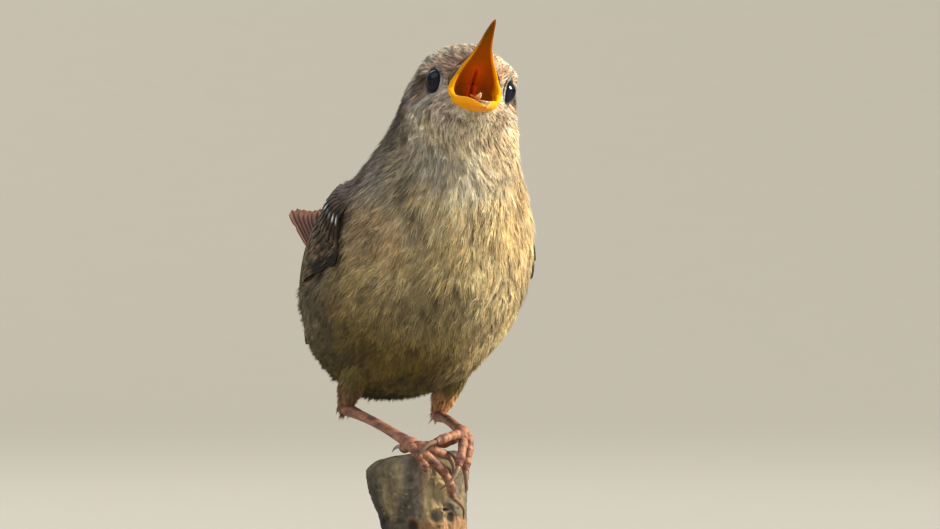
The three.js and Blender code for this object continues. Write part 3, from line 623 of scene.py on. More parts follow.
def head_marks(p, base, colours):
    """Base colour changed by the marks of the head: streaked crown, pale brow, dark line through the eye and
    mottled cheek, each a band of height and length measured from the eye."""
    ahead, up, aside = ((p - EYE_MIDDLE) @ axis for axis in (HEAD_AHEAD, HEAD_UP, HEAD_LEFT))
    on_head = smooth(ahead, -14, -7)
    base = mix(base, colours["face"], 0.85 * on_head * smooth(up, -3.5, -1.0) * smooth(ahead, -7, -1))
    crown = on_head * smooth(up + 0.45 * np.clip(ahead, 0, 8), 1.4, 3.2)
    streak = smooth(np.sin(aside * 5.0 + 2.4 * noise(p, 1.5, 3)) + 0.6 * noise(p, 0.5, 4), 0.1, 0.7)
    crown_colour = mix(colours["crown"], colours["crown_dark"], streak * 0.85)
    base = mix(base, crown_colour, crown * (0.3 + 0.7 * smooth(ahead, -5, 0)))
    away, height = np.abs(aside), up - EYE_PLACE[1]
    side = smooth(away, 2.6, 4.4) * on_head
    brow = bell(height, 3.5, 1.15) * smooth(ahead, -6, -2) * (1 - smooth(ahead, 7, 9))
    base = mix(base, colours["brow"], 0.97 * brow * side)
    stripe = bell(height - 0.36 * ahead, 2.2, 1.6) * smooth(-ahead, 0.0, 1.0) * (1 - smooth(-ahead, 9, 13))
    lore = bell(height, 0.2, 0.75) * smooth(ahead, 2.0, 3.0) * (1 - smooth(ahead, 6.5, 8))
    base = mix(base, colours["stripe"], np.clip(0.95 * stripe + 0.3 * lore, 0, 1) * side)
    under = bell(height, -2.9, 0.45) * bell(ahead, -0.6, 3.0)
    base = mix(base, colours["stripe"], 0.55 * under * side)
    ring = bell(np.hypot(height, ahead - EYE_PLACE[0]), 2.9, 0.4)
    base = mix(base, colours["eye_ring"], 0.75 * ring * side)
    cheek = side * smooth(-height, 2.4, 3.6) * (1 - smooth(-height, 8.5, 11))
    speckle = np.clip(noise(drawn_up(p, 0.45), 0.8, 5) * 1.5, 0, 1)
    base = mix(base, colours["stripe"], 0.35 * cheek * speckle)
    from_gape = np.hypot(np.hypot(ahead - 1.0, up + 7.0), away - 4.7)
    return mix(base, colours["blush"], 0.6 * bell(from_gape, 0, 2.3))


def strands(v, angle):
    """Streaks along the lie, -1 to 1: noise round a cylinder, drawn out along the body, finer on the head."""
    place = np.stack([10 * np.cos(angle), 10 * np.sin(angle), 21.0 * v], -1)
    place = place * (1 + 0.7 * smooth(v, 0.72, 0.88))[..., None]
    return 0.6 * noise(place, 0.55, 61) + 0.6 * noise(place, 1.1, 62)


def washed(v, angle, p, base, colours):
    """Base colour changed by the washes, each of which fades with the distance from its middle."""
    for place, degrees, along, across, name, strength in WASHES:
        aside = (np.degrees(angle) - degrees) * np.pi / 180 * spline(BODY["wide"], v)
        away = np.hypot((v - place) * BODY_LENGTH / along, aside / across)
        uneven = (1 + 0.25 * noise(p, 1.3, 26))[..., None]
        base = mix(base, colours[name] * uneven, strength * np.exp(-(away**2.5)))
    return base


def markings(v, angle, p, colours):
    """Colour of the plumage at a place: brown above and buff below, blended round the side, darker on the
    belly, partly as painted shade of the underside, barred on flanks and vent, with mottling from value noise
    and streaks along the lie."""
    down = np.abs(angle) / np.pi
    below = smooth(down + 0.05 * noise(p, 5, 11), 0.36, 0.56)
    above = mix(colours["back"], colours["back_dark"], np.clip(0.5 + 0.9 * noise(p, 1.6, 2), 0, 1) * 0.7)
    # The belly colour is partly its own olive buff, partly painted shade of the underside
    under = mix(colours["breast"], colours["belly"], smooth(-v, -0.52, -0.26))
    under = mix(under, colours["throat"], smooth(v, 0.6, 0.72))
    base = mix(above, under, below)
    flank = bell(down, 0.5, 0.13) * smooth(-v, -0.44, -0.26)
    base = mix(base, colours["flank"], 0.85 * flank)
    neck = bell(down, 0.44, 0.14) * smooth(v, 0.42, 0.55) * (1 - smooth(v, 0.82, 0.9))
    base = mix(base, colours["neck"], 0.8 * neck)
    vent = smooth(-v, -0.3, -0.14) * below
    base = mix(base, colours["vent"], 0.8 * vent)
    bars = smooth(np.sin(v * 150 + 2.0 * noise(p, 3.5, 7)), 0.1, 0.7)
    barred = np.clip(flank * smooth(-v, -0.36, -0.26) + vent + (1 - below) * smooth(-v, -0.5, -0.2), 0, 1)
    base = mix(base, colours["bar"], 0.7 * bars * barred)
    mottled = 1 + 0.2 * noise(p, 1.4, 21) + 0.2 * noise(p, 3.2, 22) + 0.18 * noise(p, 6.0, 23)
    base = base * mottled[..., None]
    hue = 0.07 * noise(p, 3.8, 24) + 0.06 * noise(p, 9.0, 25)
    base = base * (1 + hue[..., None] * np.array([0.8, 0.1, -1.2]))
    base = head_marks(p, washed(v, angle, p, base, colours), colours)
    return base * np.maximum(1 + (0.45 + 0.4 * smooth(v, 0.7, 0.86)) * strands(v, angle), 0.2)[..., None]


# Small feathers


def feather_shapes(rng, variants, barbs):
    """Outlines of small feathers: a leaf of four rows three points wide, and free barbs as slim triangles
    that start on the leaf and run out past its edge. x is across, y along, z up from the leaf and tone a
    brightness."""
    rows = np.array([0, 0.3, 0.58, 0.84])
    half = np.array([0.3, 0.62, 0.5, 0.1])
    leaf_x = (half[:, None] * np.array([-1, 0, 1])).ravel()
    leaf_y = (rows[:, None] + np.array([0, 0.05, 0])).ravel()
    leaf_z = np.tile([-0.2, 0.15, -0.2], len(rows))
    shapes = []
    for _ in range(variants):
        start_y = rng.uniform(0.2, 0.8, barbs)
        side = np.where(np.arange(barbs) % 2, 1, -1)
        start_x = side * np.interp(start_y, rows, half) * rng.uniform(0.0, 1.0, barbs)
        wide = rng.uniform(0.035, 0.08, barbs)
        tip_x = start_x * 1.1 + side * rng.uniform(-0.1, 0.35, barbs)
        tip_y = np.minimum(start_y + rng.uniform(0.25, 0.5, barbs), rng.uniform(0.95, 1.12, barbs))
        tone = np.repeat(rng.uniform(-1, 1, barbs), 3)
        x = np.stack([start_x - wide, start_x + wide, tip_x], 1).ravel()
        y = np.stack([start_y, start_y, tip_y], 1).ravel()
        z = np.stack([np.zeros(barbs), np.zeros(barbs), rng.uniform(0.0, 1.0, barbs)], 1).ravel()
        pairs = ((leaf_x, x), (leaf_y, y), (leaf_z, z), (0 * leaf_x, tone))
        shapes.append([np.concatenate(pair) for pair in pairs])
    leaf = grid_triangles(len(rows), 3, False)
    free = leaf_x.size + np.arange(barbs * 3).reshape(-1, 3)
    return np.array(shapes), np.concatenate([leaf, free])


def scatter(surface, count, v_range, angle_range, density, rng):
    """Evenly spread random places on a surface: cells of a grid are drawn in step with their area times the
    density, and each place is moved at random within its cell."""
    rows, columns = 260, 160
    v = np.linspace(*v_range, rows + 1)
    angle = np.linspace(*angle_range, columns + 1)
    vv, aa = crossed((v[1:] + v[:-1]) / 2, (angle[1:] + angle[:-1]) / 2)
    step = 1e-3
    along = (surface(vv + step, aa) - surface(vv - step, aa)) / (2 * step)
    around = (surface(vv, aa + step) - surface(vv, aa - step)) / (2 * step)
    area = np.linalg.norm(np.cross(along, around), axis=-1) * density(vv, aa, surface(vv, aa))
    total = np.cumsum(area.ravel())
    picked = np.searchsorted(total, (np.arange(count) + rng.uniform(0, 1, count)) / count * total[-1])
    i, j = np.divmod(np.minimum(picked, rows * columns - 1), columns)
    return (
        v[i] + rng.uniform(0, 1, count) * (v[1] - v[0]),
        angle[j] + rng.uniform(0, 1, count) * (angle[1] - angle[0]),
    )


def lay_feathers(surface, v, angle, length, half, low, high, turn, shapes, rng):
    """Small feathers laid on a surface. Each point of an outline is carried along the surface from its root,
    by its length along the lie and its width across, and raised from low at the root to high at the tip."""
    shape = shapes[rng.integers(0, len(shapes), len(v))]
    x, y, z, tone = (shape[:, k] for k in range(4))
    y = y * (1 + 0.1 * rng.normal(0, 1, y.shape) * (y > 0.9))
    along, across = y * length[:, None], x * half[:, None]
    cos, sin = np.cos(turn)[:, None], np.sin(turn)[:, None]
    step = 2e-3
    per_v = np.linalg.norm(surface(v + step, angle) - surface(v - step, angle), axis=-1) / (2 * step)
    per_angle = np.linalg.norm(surface(v, angle + step) - surface(v, angle - step), axis=-1) / (2 * step)
    ahead = (along * cos - across * sin) / np.maximum(per_v, 4)[:, None]
    aside = (along * sin + across * cos) / np.maximum(per_angle, 1.2)[:, None]
    height = low[:, None] + (high - low)[:, None] * np.clip(y, 0, 1.1) ** 0.8 + 0.12 * z
    return surface(v[:, None] - ahead, angle[:, None] + aside, height), x, y, tone


def feather_colour(v, angle, root, x, y, tone, colours, rng):
    """Colour of every corner of the feathers: the markings at the root, lighter on the raised clumps of the
    body and darker between them as painted light and shade, darker at the base, each barb in its own tone, a
    dark line along the shaft on crown and nape, and now and then a dark fleck near the tip."""
    count = len(v)
    base = markings(v, angle, root, colours)
    on_head = smooth(v, 0.7, 0.85)
    warmth = rng.normal(0, 0.05, count)[:, None] * np.array([1.0, 0.2, -1.2])
    # Painted light and shade: lighter on the raised clumps of the body's feathers, darker between them
    painted_ruffle_shade = 0.2 * noise(root, 4.5, 41) * (1 - on_head)
    own = 1 + (0.34 + 0.22 * on_head) * rng.uniform(-1, 1, count)
    base = base * (own * (1 + painted_ruffle_shade))[:, None] * (1 + warmth)
    down = np.abs(angle) / np.pi
    shade = (0.42 + 0.64 * np.clip(y, 0, 1.05)) * (1 + (0.5 + 0.25 * on_head)[:, None] * tone)
    streaked = (1 - smooth(down, 0.45, 0.75)) * smooth(v, 0.5, 0.7)
    line = smooth(y, 0.4, 0.7) * (rng.uniform(0, 1, count) < 0.4)[:, None]
    shade = shade * (1 - 0.62 * streaked[:, None] * line)
    chance = 0.025 + 0.1 * smooth(-v, -0.3, -0.12) + 0.12 * bell(down, 0.56, 0.1) * smooth(-v, -0.4, -0.2)
    fleck = (rng.uniform(0, 1, count) < chance * (1 - smooth(v, 0.5, 0.7)))[:, None] * smooth(y, 0.55, 0.7)
    shade = shade * (1 - 0.6 * fleck * bell(x, 0, 0.8))
    return base[:, None] * shade[..., None]


def turned_out(points, triangles, surface, v, angle):
    """Feather triangles turned to face away from the body, judged from one triangle of each leaf."""
    a, b, c = (points[:, triangles[4][k]] for k in range(3))
    out = surface(v, angle, 1.0) - surface(v, angle, 0.0)
    return triangles if (np.cross(b - a, c - a) * out).sum() > 0 else triangles[:, ::-1]


def body_uv(v, angle):
    """Place in the bake map: round the body across the map, along it up the map."""
    return np.stack([angle / (2 * np.pi) * 0.98 + 0.5, v * 0.8 + 0.01], -1)


def coat_pieces(name, surface, place, sizes, shapes, colour_of, uv, rng, pieces=1):
    """Feathers laid at places on a surface and coloured, as what make_mesh takes for one piece or for several
    by angle. sizes are length, half width, low, high and turn. Each feather has a small patch of the bake map
    at its root's place."""
    outlines, triangles = shapes
    points, x, y, tone = lay_feathers(surface, *place, *sizes, outlines, rng)
    triangles = turned_out(points, triangles, surface, *place)
    colour = colour_of(x, y, tone)
    count, corners = x.shape
    patch = uv[:, None] + np.stack([x, y - 0.5], -1) * np.array(FEATHER_PATCH)
    order = np.argsort(place[1]) if pieces > 1 else np.arange(count)
    made = []
    for number, part in enumerate(np.array_split(order, pieces)):
        faces = (triangles[None] + (np.arange(len(part)) * corners)[:, None, None]).reshape(-1, 3)
        whole = f"{name}_{number + 1}" if pieces > 1 else name
        made.append((whole, lifted(points[part]), faces, colour[part], patch[part]))
    return made


# Materials


def add(tree, kind, **values):
    """New shader node with its sockets, or else its settings, at the given values."""
    node = tree.nodes.new(kind)
    for key, value in values.items():
        socket = key.replace("_", " ")
        if socket in node.inputs:
            node.inputs[socket].default_value = value
        else:
            setattr(node, key, value)
    return node


def tinted(name, roughness, variation, scale, bump, distance, stretch=(1, 1, 1), **values):
    """Material whose colour is the mesh's own tint, broken up by fine noise in object coordinates, scaled
    along the axes by stretch, with a bump from the same noise. values are sockets of its surface."""
    material = bpy.data.materials.new(name)
    material.use_nodes = True
    tree = material.node_tree
    surface = tree.nodes["Principled BSDF"]
    tint = add(tree, "ShaderNodeAttribute", attribute_name="tint")
    place = add(tree, "ShaderNodeTexCoord")
    mapping = add(tree, "ShaderNodeMapping", Scale=stretch)
    fine = add(tree, "ShaderNodeTexNoise", Scale=scale, Detail=4.0, Roughness=0.6)
    spread = add(tree, "ShaderNodeMapRange", To_Min=1 - variation, To_Max=1 + variation)
    shade = add(tree, "ShaderNodeVectorMath", operation="SCALE")
    relief = add(tree, "ShaderNodeBump", Strength=bump, Distance=distance)
    for start, output, end, socket in (
        (place, "Object", mapping, "Vector"),
        (mapping, "Vector", fine, "Vector"),
        (fine, "Fac", spread, "Value"),
        (tint, "Color", shade, 0),
        (spread, "Result", shade, "Scale"),
        (shade, "Vector", surface, "Base Color"),
        (fine, "Fac", relief, "Height"),
        (relief, "Normal", surface, "Normal"),
    ):
        tree.links.new(start.outputs[output], end.inputs[socket])
    for key, value in {"Roughness": roughness, **values}.items():
        surface.inputs[key.replace("_", " ")].default_value = value
    return material


# Properties


def colour_property(name, description, default):
    """Colour setting of a property group."""
    return FloatVectorProperty(
        name=name, description=description, default=default, size=3, min=0, max=1, subtype="COLOR"
    )


def length_property(name, description, default):
    """Length setting of a property group, in metres."""
    return FloatProperty(name=name, description=description, default=default, unit="LENGTH")


class WrenPlumage(PropertyGroup):
    feather_length: length_property("Body feather length", "Length of a breast feather", 0.0047)
    feather_half: length_property("Body feather half width", "Half the width of a breast feather", 0.00105)
    body_count: IntProperty(name="Body feathers", description="Feathers on the body", default=24500, min=100)
    head_count: IntProperty(name="Head feathers", description="Feathers on the head", default=11000, min=100)
    thigh_count: IntProperty(name="Thigh feathers", description="Feathers on a thigh", default=1300, min=10)
    throat: colour_property("Throat", "Cream of the throat", (0.78, 0.66, 0.48))
    breast: colour_property("Breast", "Pale buff of the breast", (0.60, 0.475, 0.265))
    # Partly the belly's own olive buff, partly painted shade of the underside
    belly: colour_property("Belly", "Olive buff of the belly", (0.17, 0.119, 0.02))
    flank: colour_property("Flank", "Brown of the flanks", (0.285, 0.222, 0.142))
    thigh: colour_property("Thigh", "Rusty brown of the thighs", (0.38, 0.21, 0.10))
    vent: colour_property("Vent", "Brown buff under the tail", (0.125, 0.1, 0.025))
    neck: colour_property("Neck", "Grey brown of the neck's sides", (0.135, 0.096, 0.054))
    # Painted shade at the shoulders, laid by the washes where the wings meet the neck
    shoulder: colour_property("Shoulder", "Dull purplish brown of the shoulders", (0.125, 0.092, 0.078))
    # Painted shade on the right side of the throat and the neck
    painted_shade_grey: colour_property("Ash", "Greyish wash at the side of the throat", (0.46, 0.45, 0.40))
    # Painted shade on the right side of the breast
    olive: colour_property("Olive", "Olive wash in the middle of the breast", (0.30, 0.235, 0.115))
    tan: colour_property("Tan", "Orange buff wash on the breast", (0.60, 0.40, 0.22))
    face: colour_property("Face", "Greyish buff of forehead and face", (0.95, 0.60, 0.42))
    back: colour_property("Back", "Rufous brown of the back", (0.24, 0.132, 0.068))
    back_dark: colour_property("Back mottling", "Dark brown in the back", (0.11, 0.06, 0.033))
    bar: colour_property("Bars", "Dark bars of flanks and vent", (0.055, 0.035, 0.022))
    crown: colour_property("Crown", "Pale buff between the crown's streaks", (1.0, 0.74, 0.48))
    crown_dark: colour_property("Crown streaks", "Dark streaks of the crown", (0.16, 0.098, 0.062))
    brow: colour_property("Brow", "Pale line over the eye", (1.0, 0.86, 0.66))
    stripe: colour_property("Eye stripe", "Dark line through the eye", (0.075, 0.056, 0.045))
    blush: colour_property("Gape feathers", "Pinkish feathers under the gape's corners", (0.60, 0.40, 0.34))
    eye_ring: colour_property("Eye ring", "Pale feathers round the eye", (0.55, 0.50, 0.46))


class WrenFlight(PropertyGroup):
    vane_thick: length_property("Vane thickness", "Thickness of a flight feather", 0.00018)
    dark: colour_property("Feather brown", "Ground colour of wing and tail feathers", (0.045, 0.029, 0.018))
    rufous: colour_property("Feather rufous", "Bars of wing and tail feathers", (0.11, 0.065, 0.03))
    pale: colour_property("Feather buff", "Pale bars along the outer primaries", (0.23, 0.165, 0.085))
    spot: colour_property("Covert spot", "Whitish tips of the coverts", (0.90, 0.92, 0.95))
    plum: colour_property("Tail", "Dark purplish brown of the tail", (0.062, 0.030, 0.032))
    edge: colour_property("Tail edges", "Orange brown edges of the tail feathers", (0.26, 0.13, 0.09))


class WrenFace(PropertyGroup):
    horn: colour_property("Bill horn", "Brown outside of the bill", (0.24, 0.12, 0.05))
    tip: colour_property("Bill tip", "Olive brown of the bill's tip", (0.15, 0.115, 0.002))
    rim: colour_property("Bill rim", "Yellow of the cutting edges and gape", (1.0, 0.41, 0.002))
    palate: colour_property("Palate", "Orange of the mouth", (0.40, 0.11, 0.001))
    deep: colour_property("Throat inside", "Red at the back of the mouth", (1.0, 0.13, 0.014))
    tongue: colour_property("Tongue", "Pale flesh of the tongue", (0.85, 0.6, 0.42))
    # Its bluish tint is a painted reflection on the dark eye
    iris: colour_property("Iris", "Very dark brown of the iris", (0.010, 0.012, 0.024))
    lid: colour_property("Lid", "Dark skin at the lids' inner edge", (0.06, 0.05, 0.045))
    lid_pale: colour_property("Lid feathering", "Pale outer edge of the lids", (0.42, 0.41, 0.41))


class WrenLegs(PropertyGroup):
    flesh: colour_property("Leg", "Pinkish brown of shanks and toes", (0.37, 0.172, 0.108))
    # Painted shade, laid on the legs as purplish blotches
    dusk: colour_property("Leg shade", "Purplish brown blotches of the legs", (0.13, 0.064, 0.072))
    crease: colour_property("Scute edges", "Dark creases between the scutes", (0.085, 0.038, 0.026))
    claw: colour_property("Claw", "Brown horn of the claws", (0.26, 0.165, 0.11))
    scutes: IntProperty(name="Scutes", description="Scutes along a shank", default=9, min=3)


class WrenPerch(PropertyGroup):
    bark: colour_property("Bark", "Grey olive bark", (0.108, 0.09, 0.068))
    # Also gathered over the front of the stick as painted light
    moss: colour_property("Bark patches", "Yellowish patches of the bark", (0.30, 0.235, 0.125))
    peeled: colour_property("Peeled bark", "Orange brown of peeling bark", (0.31, 0.18, 0.095))
    lichen: colour_property("Lichen", "Pale specks on the bark", (0.42, 0.42, 0.34))
    wood: colour_property("Stand wood", "Dark wood of the stand", (0.085, 0.038, 0.018))
    brass: colour_property("Stand brass", "Brass of the rod", (0.58, 0.39, 0.15))


class WrenStudio(PropertyGroup):
    floor: colour_property("Floor", "Pale floor", (0.39, 0.385, 0.37))
    wall: colour_property("Wall", "Far part of the floor, where it curves up", (0.40, 0.395, 0.385))
    key: FloatProperty(name="Key light", description="Strength of the warm light", default=6.3, min=0)
    fill: FloatProperty(name="Fill light", description="Power of the two lamps", default=8.0, unit="POWER")
    world: FloatProperty(name="World", description="Strength of the light all round", default=0.42, min=0)


def palette(group):
    """Colours of a property group by name."""
    names = [key for key, value in group.__annotations__.items() if value.keywords.get("subtype") == "COLOR"]
    return {name: np.array(getattr(group, name)) for name in names}


# Skin


def thigh_surface(leg):
    """Surface of a thigh: a tube along the curve from the ankle up into the belly, as a function of the share
    of the way up and the angle round it. Below the ankle it runs straight on and narrows."""
    route = KNEE_FROM_ANKLE * (np.array([-1, 1, 1]) if leg else 1) + ANKLES[leg]
    path, tangent = curve_through(route, 40)
    side = np.array([1.0, 0, 0])
    normal = unit(side - (tangent @ side)[:, None] * tangent)
    other = np.cross(tangent, normal)

    def surface(t, angle, grow=0.0):
        t = np.asarray(t, float)
        s = np.clip(t, 0, 1) * (len(path) - 1)
        i = np.minimum(s.astype(int), len(path) - 2)
        f = (s - i)[..., None]
        below = np.maximum(-t, 0)[..., None] * THIGH_LENGTH
        middle = path[i] * (1 - f) + path[i + 1] * f - tangent[0] * below
        radius = spline(THIGH_RADII, t) * (1 - 0.5 * np.clip(-t, 0, 1)) + grow
        out, aside = radius * np.cos(angle), radius * np.sin(angle)
        return middle + normal[i] * out[..., None] + other[i] * aside[..., None]

    return surface


def body_skin(colours):
    """Skin of the body: rings of the body formula from the rump to the face, drawn in by the coat's depth,
    then inwards to close it inside the mouth."""
    rows, columns = 200, 144
    t = np.linspace(RUMP_END, 1, rows)
    angle = circle(columns)
    vv, aa = crossed(t * (0.6 + 0.4 * t), angle)
    points = body_point(vv, aa, -coat_depth(vv))
    signed = (aa + np.pi) % (2 * np.pi) - np.pi
    # Markings at 0.62: painted shade where the skin shows between the feathers
    colour = markings(vv, signed, points, colours) * 0.62
    pocket = mouth_pocket(angle)
    colour = np.concatenate([colour, np.repeat(colour[-1:], len(pocket), 0)])
    closed, triangles = rounded(np.concatenate([points, pocket]))
    return closed, outward(closed, triangles), capped(colour)


def mouth_pocket(angle):
    """Rings that lead the skin inwards behind the lining of the mouth."""
    middle, forward, left, up, wide, back, breast, setback, _ = body_at(np.array(1.0))
    sin, cos = np.sin(angle)[:, None], np.cos(angle)[:, None]
    rings = []
    for inward, scale, bowed in MOUTH_RINGS:
        reach = np.where(cos > 0, back, breast) * scale
        ring = middle + left * (wide * scale * sin) + up * (reach * cos)
        rings.append(ring - forward * (inward + setback * bowed * sin**2))
    return np.array(rings)


def thigh_skin(leg, colours):
    """Skin of a thigh, drawn in by the depth of its coat."""
    share, angle = crossed(np.linspace(0, 1, 30), circle(36))
    points, triangles = rounded(thigh_surface(leg)(share, angle, -THIGH_COAT))
    # Flank colour at 0.6: painted shade where the skin shows between the feathers
    return points, outward(points, triangles), colours["flank"] * 0.6


class WREN_OT_skin(Operator):
    """Skin under the coat, one piece for body, head and thighs"""

    bl_idname = "wren.skin"
    bl_label = "Skin"

    def execute(self, context):
        colours = palette(context.scene.wren_plumage)
        parts = [body_skin(colours), thigh_skin(0, colours), thigh_skin(1, colours)]
        # Material of the skin, whose darkened colour is painted shade between the feathers
        down = tinted("down", 0.9, 0.35, 1800, 0.6, 0.0002)
        show_parts("skin", parts, down, "plumage", "torso", "neck", "head", "thigh_right", "thigh_left")
        return {"FINISHED"}


# Coat


def wing_share(v):
    """Share of the wing's length at a place along the body."""
    return (v - WING_FROM) / (WING_TO - WING_FROM)


def wing_edges(share, side):
    """Degrees down from the back of a wing's upper and lower edge, at a share of its length. side is positive
    on the left."""
    droop = np.where(side > 0, WING_DROOP[1], WING_DROOP[0]) * np.sin(np.pi * np.clip(share, 0, 1)) ** 0.7
    return spline(WING_TOP, share), spline(WING_BOTTOM, share) + droop


def wing_height(v, angle):
    """Degrees by which a place lies above or below the band of a folded wing, negative within it."""
    top, bottom = wing_edges(wing_share(v), angle)
    degrees = np.degrees(np.abs(angle))
    return np.maximum(top - degrees, degrees - bottom)


def wing_margin(v, angle):
    """Degrees by which a place lies outside the outline of a folded wing, negative under it."""
    share = wing_share(v)
    return np.maximum.reduce([wing_height(v, angle), -100 * share, 100 * (share - 0.95)])


def clear_of_lids(p):
    """1 where small feathers grow, 0 inside the lids."""
    keep = 1.0
    for side, _ in SIDES:
        height, aside = from_eye(p, side)
        keep = keep * np.where((height > 0) & (aside < LID_RADIUS + 0.35), 0.0, 1.0)
    return keep


def bill_surface(s, angle, grow=0.0):
    """Outer face of the upper bill: its edge line plus the ridge's height times a power of the cosine, and
    its width times the sine."""
    along, edge, ridge, wide = (spline(UPPER_BILL[name], s) for name in ("along", "edge", "ridge", "wide"))
    arch = np.maximum(np.cos(angle), 0) ** 0.75
    return head_point(along, edge + (ridge - edge + grow) * arch, (wide + grow) * np.sin(angle))


class WREN_OT_coat(Operator):
    """Small feathers of body, head and thighs, in pieces by side"""

    bl_idname = "wren.coat"
    bl_label = "Coat"

    def execute(self, context):
        plumage = context.scene.wren_plumage
        colours = palette(plumage)
        rng = np.random.default_rng(20)
        vanes = tinted("vanes", 0.78, 0.12, 2600, 0.25, 0.00008, Sheen_Weight=0.08)
        body = self.body(plumage, colours, rng)
        head = self.head(plumage, colours, rng)
        frontal = self.frontal(colours, rng)
        for piece in [*body, *frontal, *head, *self.thighs(plumage, colours, rng)]:
            show(make_mesh(*piece), vanes, "plumage")
        return {"FINISHED"}

    def body(self, plumage, colours, rng):
        """Feathers of the body: ruffled in places, flat under the wings, raised beside them and over their
        shoulders, and loose under the rump."""
        shapes = feather_shapes(rng, 14, 26)

        def density(v, angle, p):
            return np.where(wing_margin(v, angle) < -4, 0.0, 1.0) * (1 + 0.5 * smooth(v, 0.5, 0.75))

        v, angle = scatter(body_point, plumage.body_count, (0.0, 0.8), (-np.pi, np.pi), density, rng)
        count, root, depth = len(v), body_point(v, angle), coat_depth(v)
        shrink = (1 - 0.5 * smooth(v, 0.55, 0.8)) * (0.2 + 0.8 * smooth(v, 0.05, 0.24))
        length = plumage.feather_length / MM * shrink * rng.uniform(0.7, 1.2, count)
        half = plumage.feather_half / MM * (0.4 + 0.6 * shrink) * rng.uniform(0.7, 1.2, count)
        margin, share = wing_margin(v, angle), wing_share(v)
        ruffle = np.clip(noise(root, 4.5, 41), 0, 1) * (1 + smooth(v, 0.1, 0.3))
        beside = bell(margin, 3, 5) * (margin > -1) * smooth(share, -0.12, 0.02)
        shoulder = smooth(share, -0.3, 0.0) * (1 - smooth(share, 0.1, 0.2))
        shoulder = shoulder * smooth(-wing_height(v, angle), -8, 2)
        underside = smooth(np.abs(angle), 2.1, 2.8) * bell(v, 0.125, 0.085)
        high = rng.uniform(-0.5, 0.15, count) * depth + 0.3 * ruffle + 0.9 * beside * (depth / COAT_DEPTH)
        high = high - 0.7 * smooth(-margin, 0, 3) * (1 - shoulder) + 0.4 * shoulder + 1.5 * underside
        low = 0.6 * shoulder + 0.5 * underside - depth
        turn = rng.normal(0, 0.17, count) + 0.36 * noise(root, 6.0, 31) + 0.3 * noise(root, 2.5, 33)
        turn = turn - np.sign(angle) * 0.4 * beside * smooth(-share, -0.1, 0.0)
        sizes = length * (1 - 0.35 * shoulder), half, low, high, turn

        def colour_of(x, y, tone):
            return feather_colour(v, angle, root, x, y, tone, colours, rng)

        uv = body_uv(v, angle)
        return coat_pieces("coat_body", body_point, (v, angle), sizes, shapes, colour_of, uv, rng, 5)

    def head(self, plumage, colours, rng):
        """Feathers of the head, shortest and densest at the face."""
        shapes = feather_shapes(rng, 12, 20)

        def density(v, angle, p):
            return clear_of_lids(p) * (1 + 1.2 * smooth(v, 0.8, 0.95))

        v, angle = scatter(body_point, plumage.head_count, (0.78, 1.0), (-np.pi, np.pi), density, rng)
        count, root, depth = len(v), body_point(v, angle), coat_depth(v)
        shrink = 1 - 0.5 * smooth(v, 0.8, 0.95)
        length = 2.8 * shrink * rng.uniform(0.75, 1.2, count)
        half = 0.44 * shrink * rng.uniform(0.7, 1.2, count)
        high = rng.uniform(-0.35, 0.45, count) * depth
        sizes = length, half, -depth, high, rng.normal(0, 0.16, count) + 0.35 * noise(root, 4.0, 35)

        def colour_of(x, y, tone):
            return feather_colour(v, angle, root, x, y, tone, colours, rng)

        uv = body_uv(v, angle)
        return coat_pieces("coat_head", body_point, (v, angle), sizes, shapes, colour_of, uv, rng, 2)

    def frontal(self, colours, rng):
        """Shortest feathers, which run back from the nostrils over the base and sides of the upper bill."""
        shapes = feather_shapes(rng, 8, 12)
        s = FRONTAL_REACH * rng.uniform(0, 1, 2400)
        angle = rng.uniform(-1.4, 1.4, 2400)
        keep = s < FRONTAL_REACH - 0.1 * np.abs(angle)
        s, angle = s[keep], angle[keep]
        count, root = len(s), bill_surface(s, angle)
        length, half, high = (rng.uniform(*ends, count) for ends in ((0.9, 1.5), (0.18, 0.3), (0.15, 0.45)))
        sizes = length, half, 0 * s - 0.1, high, rng.normal(0, 0.15, count)

        def colour_of(x, y, tone):
            return feather_colour(np.ones(count), angle, root, x, y, tone, colours, rng)

        uv = np.stack([0.5 + 0.4 * angle / np.pi, 0.985 + 0.02 * s], -1)
        return coat_pieces("coat_frontal", bill_surface, (s, angle), sizes, shapes, colour_of, uv, rng)

    def thighs(self, plumage, colours, rng):
        """Feathers of the thighs, rusty with dark patches low down and like the vent above; the left thigh
        painted lighter and the right one darker, as painted light and shade.
        """
        shapes = feather_shapes(rng, 8, 18)
        count, pieces = plumage.thigh_count, []
        for leg, (_, name) in enumerate(SIDES):
            surface = thigh_surface(leg)
            t = 0.01 + 0.94 * rng.uniform(0.0, 1.0, count) ** 0.85
            angle = rng.uniform(-np.pi, np.pi, count)
            root = surface(t, angle)
            length = rng.uniform(1.3, 2.3, count) * (0.45 + 0.7 * t + 0.5 * bell(t, 0, 0.14))
            half, high = (rng.uniform(*ends, count) for ends in ((0.35, 0.55), (-0.3, 0.12)))
            sizes = length, half, np.full(count, -THIGH_COAT), high, rng.normal(0, 0.15, count)
            base = mix(colours["thigh"], colours["bar"], 0.45 * smooth(noise(root, 1.6, 51), 0, 0.6))
            # Painted light and shade: the left thigh lit, the right one shaded
            base = base * (2.3 if leg else 0.75)
            base = mix(base, colours["vent"] * 1.4, 0.95 * smooth(t + 0.08 * noise(root, 1.2, 52), 0.28, 0.5))

            def colour_of(x, y, tone, base=base):
                shade = (0.6 + 0.46 * np.clip(y, 0, 1.1)) * (1 + 0.35 * tone)
                return (base * rng.uniform(0.7, 1.25, count)[:, None])[:, None] * shade[..., None]

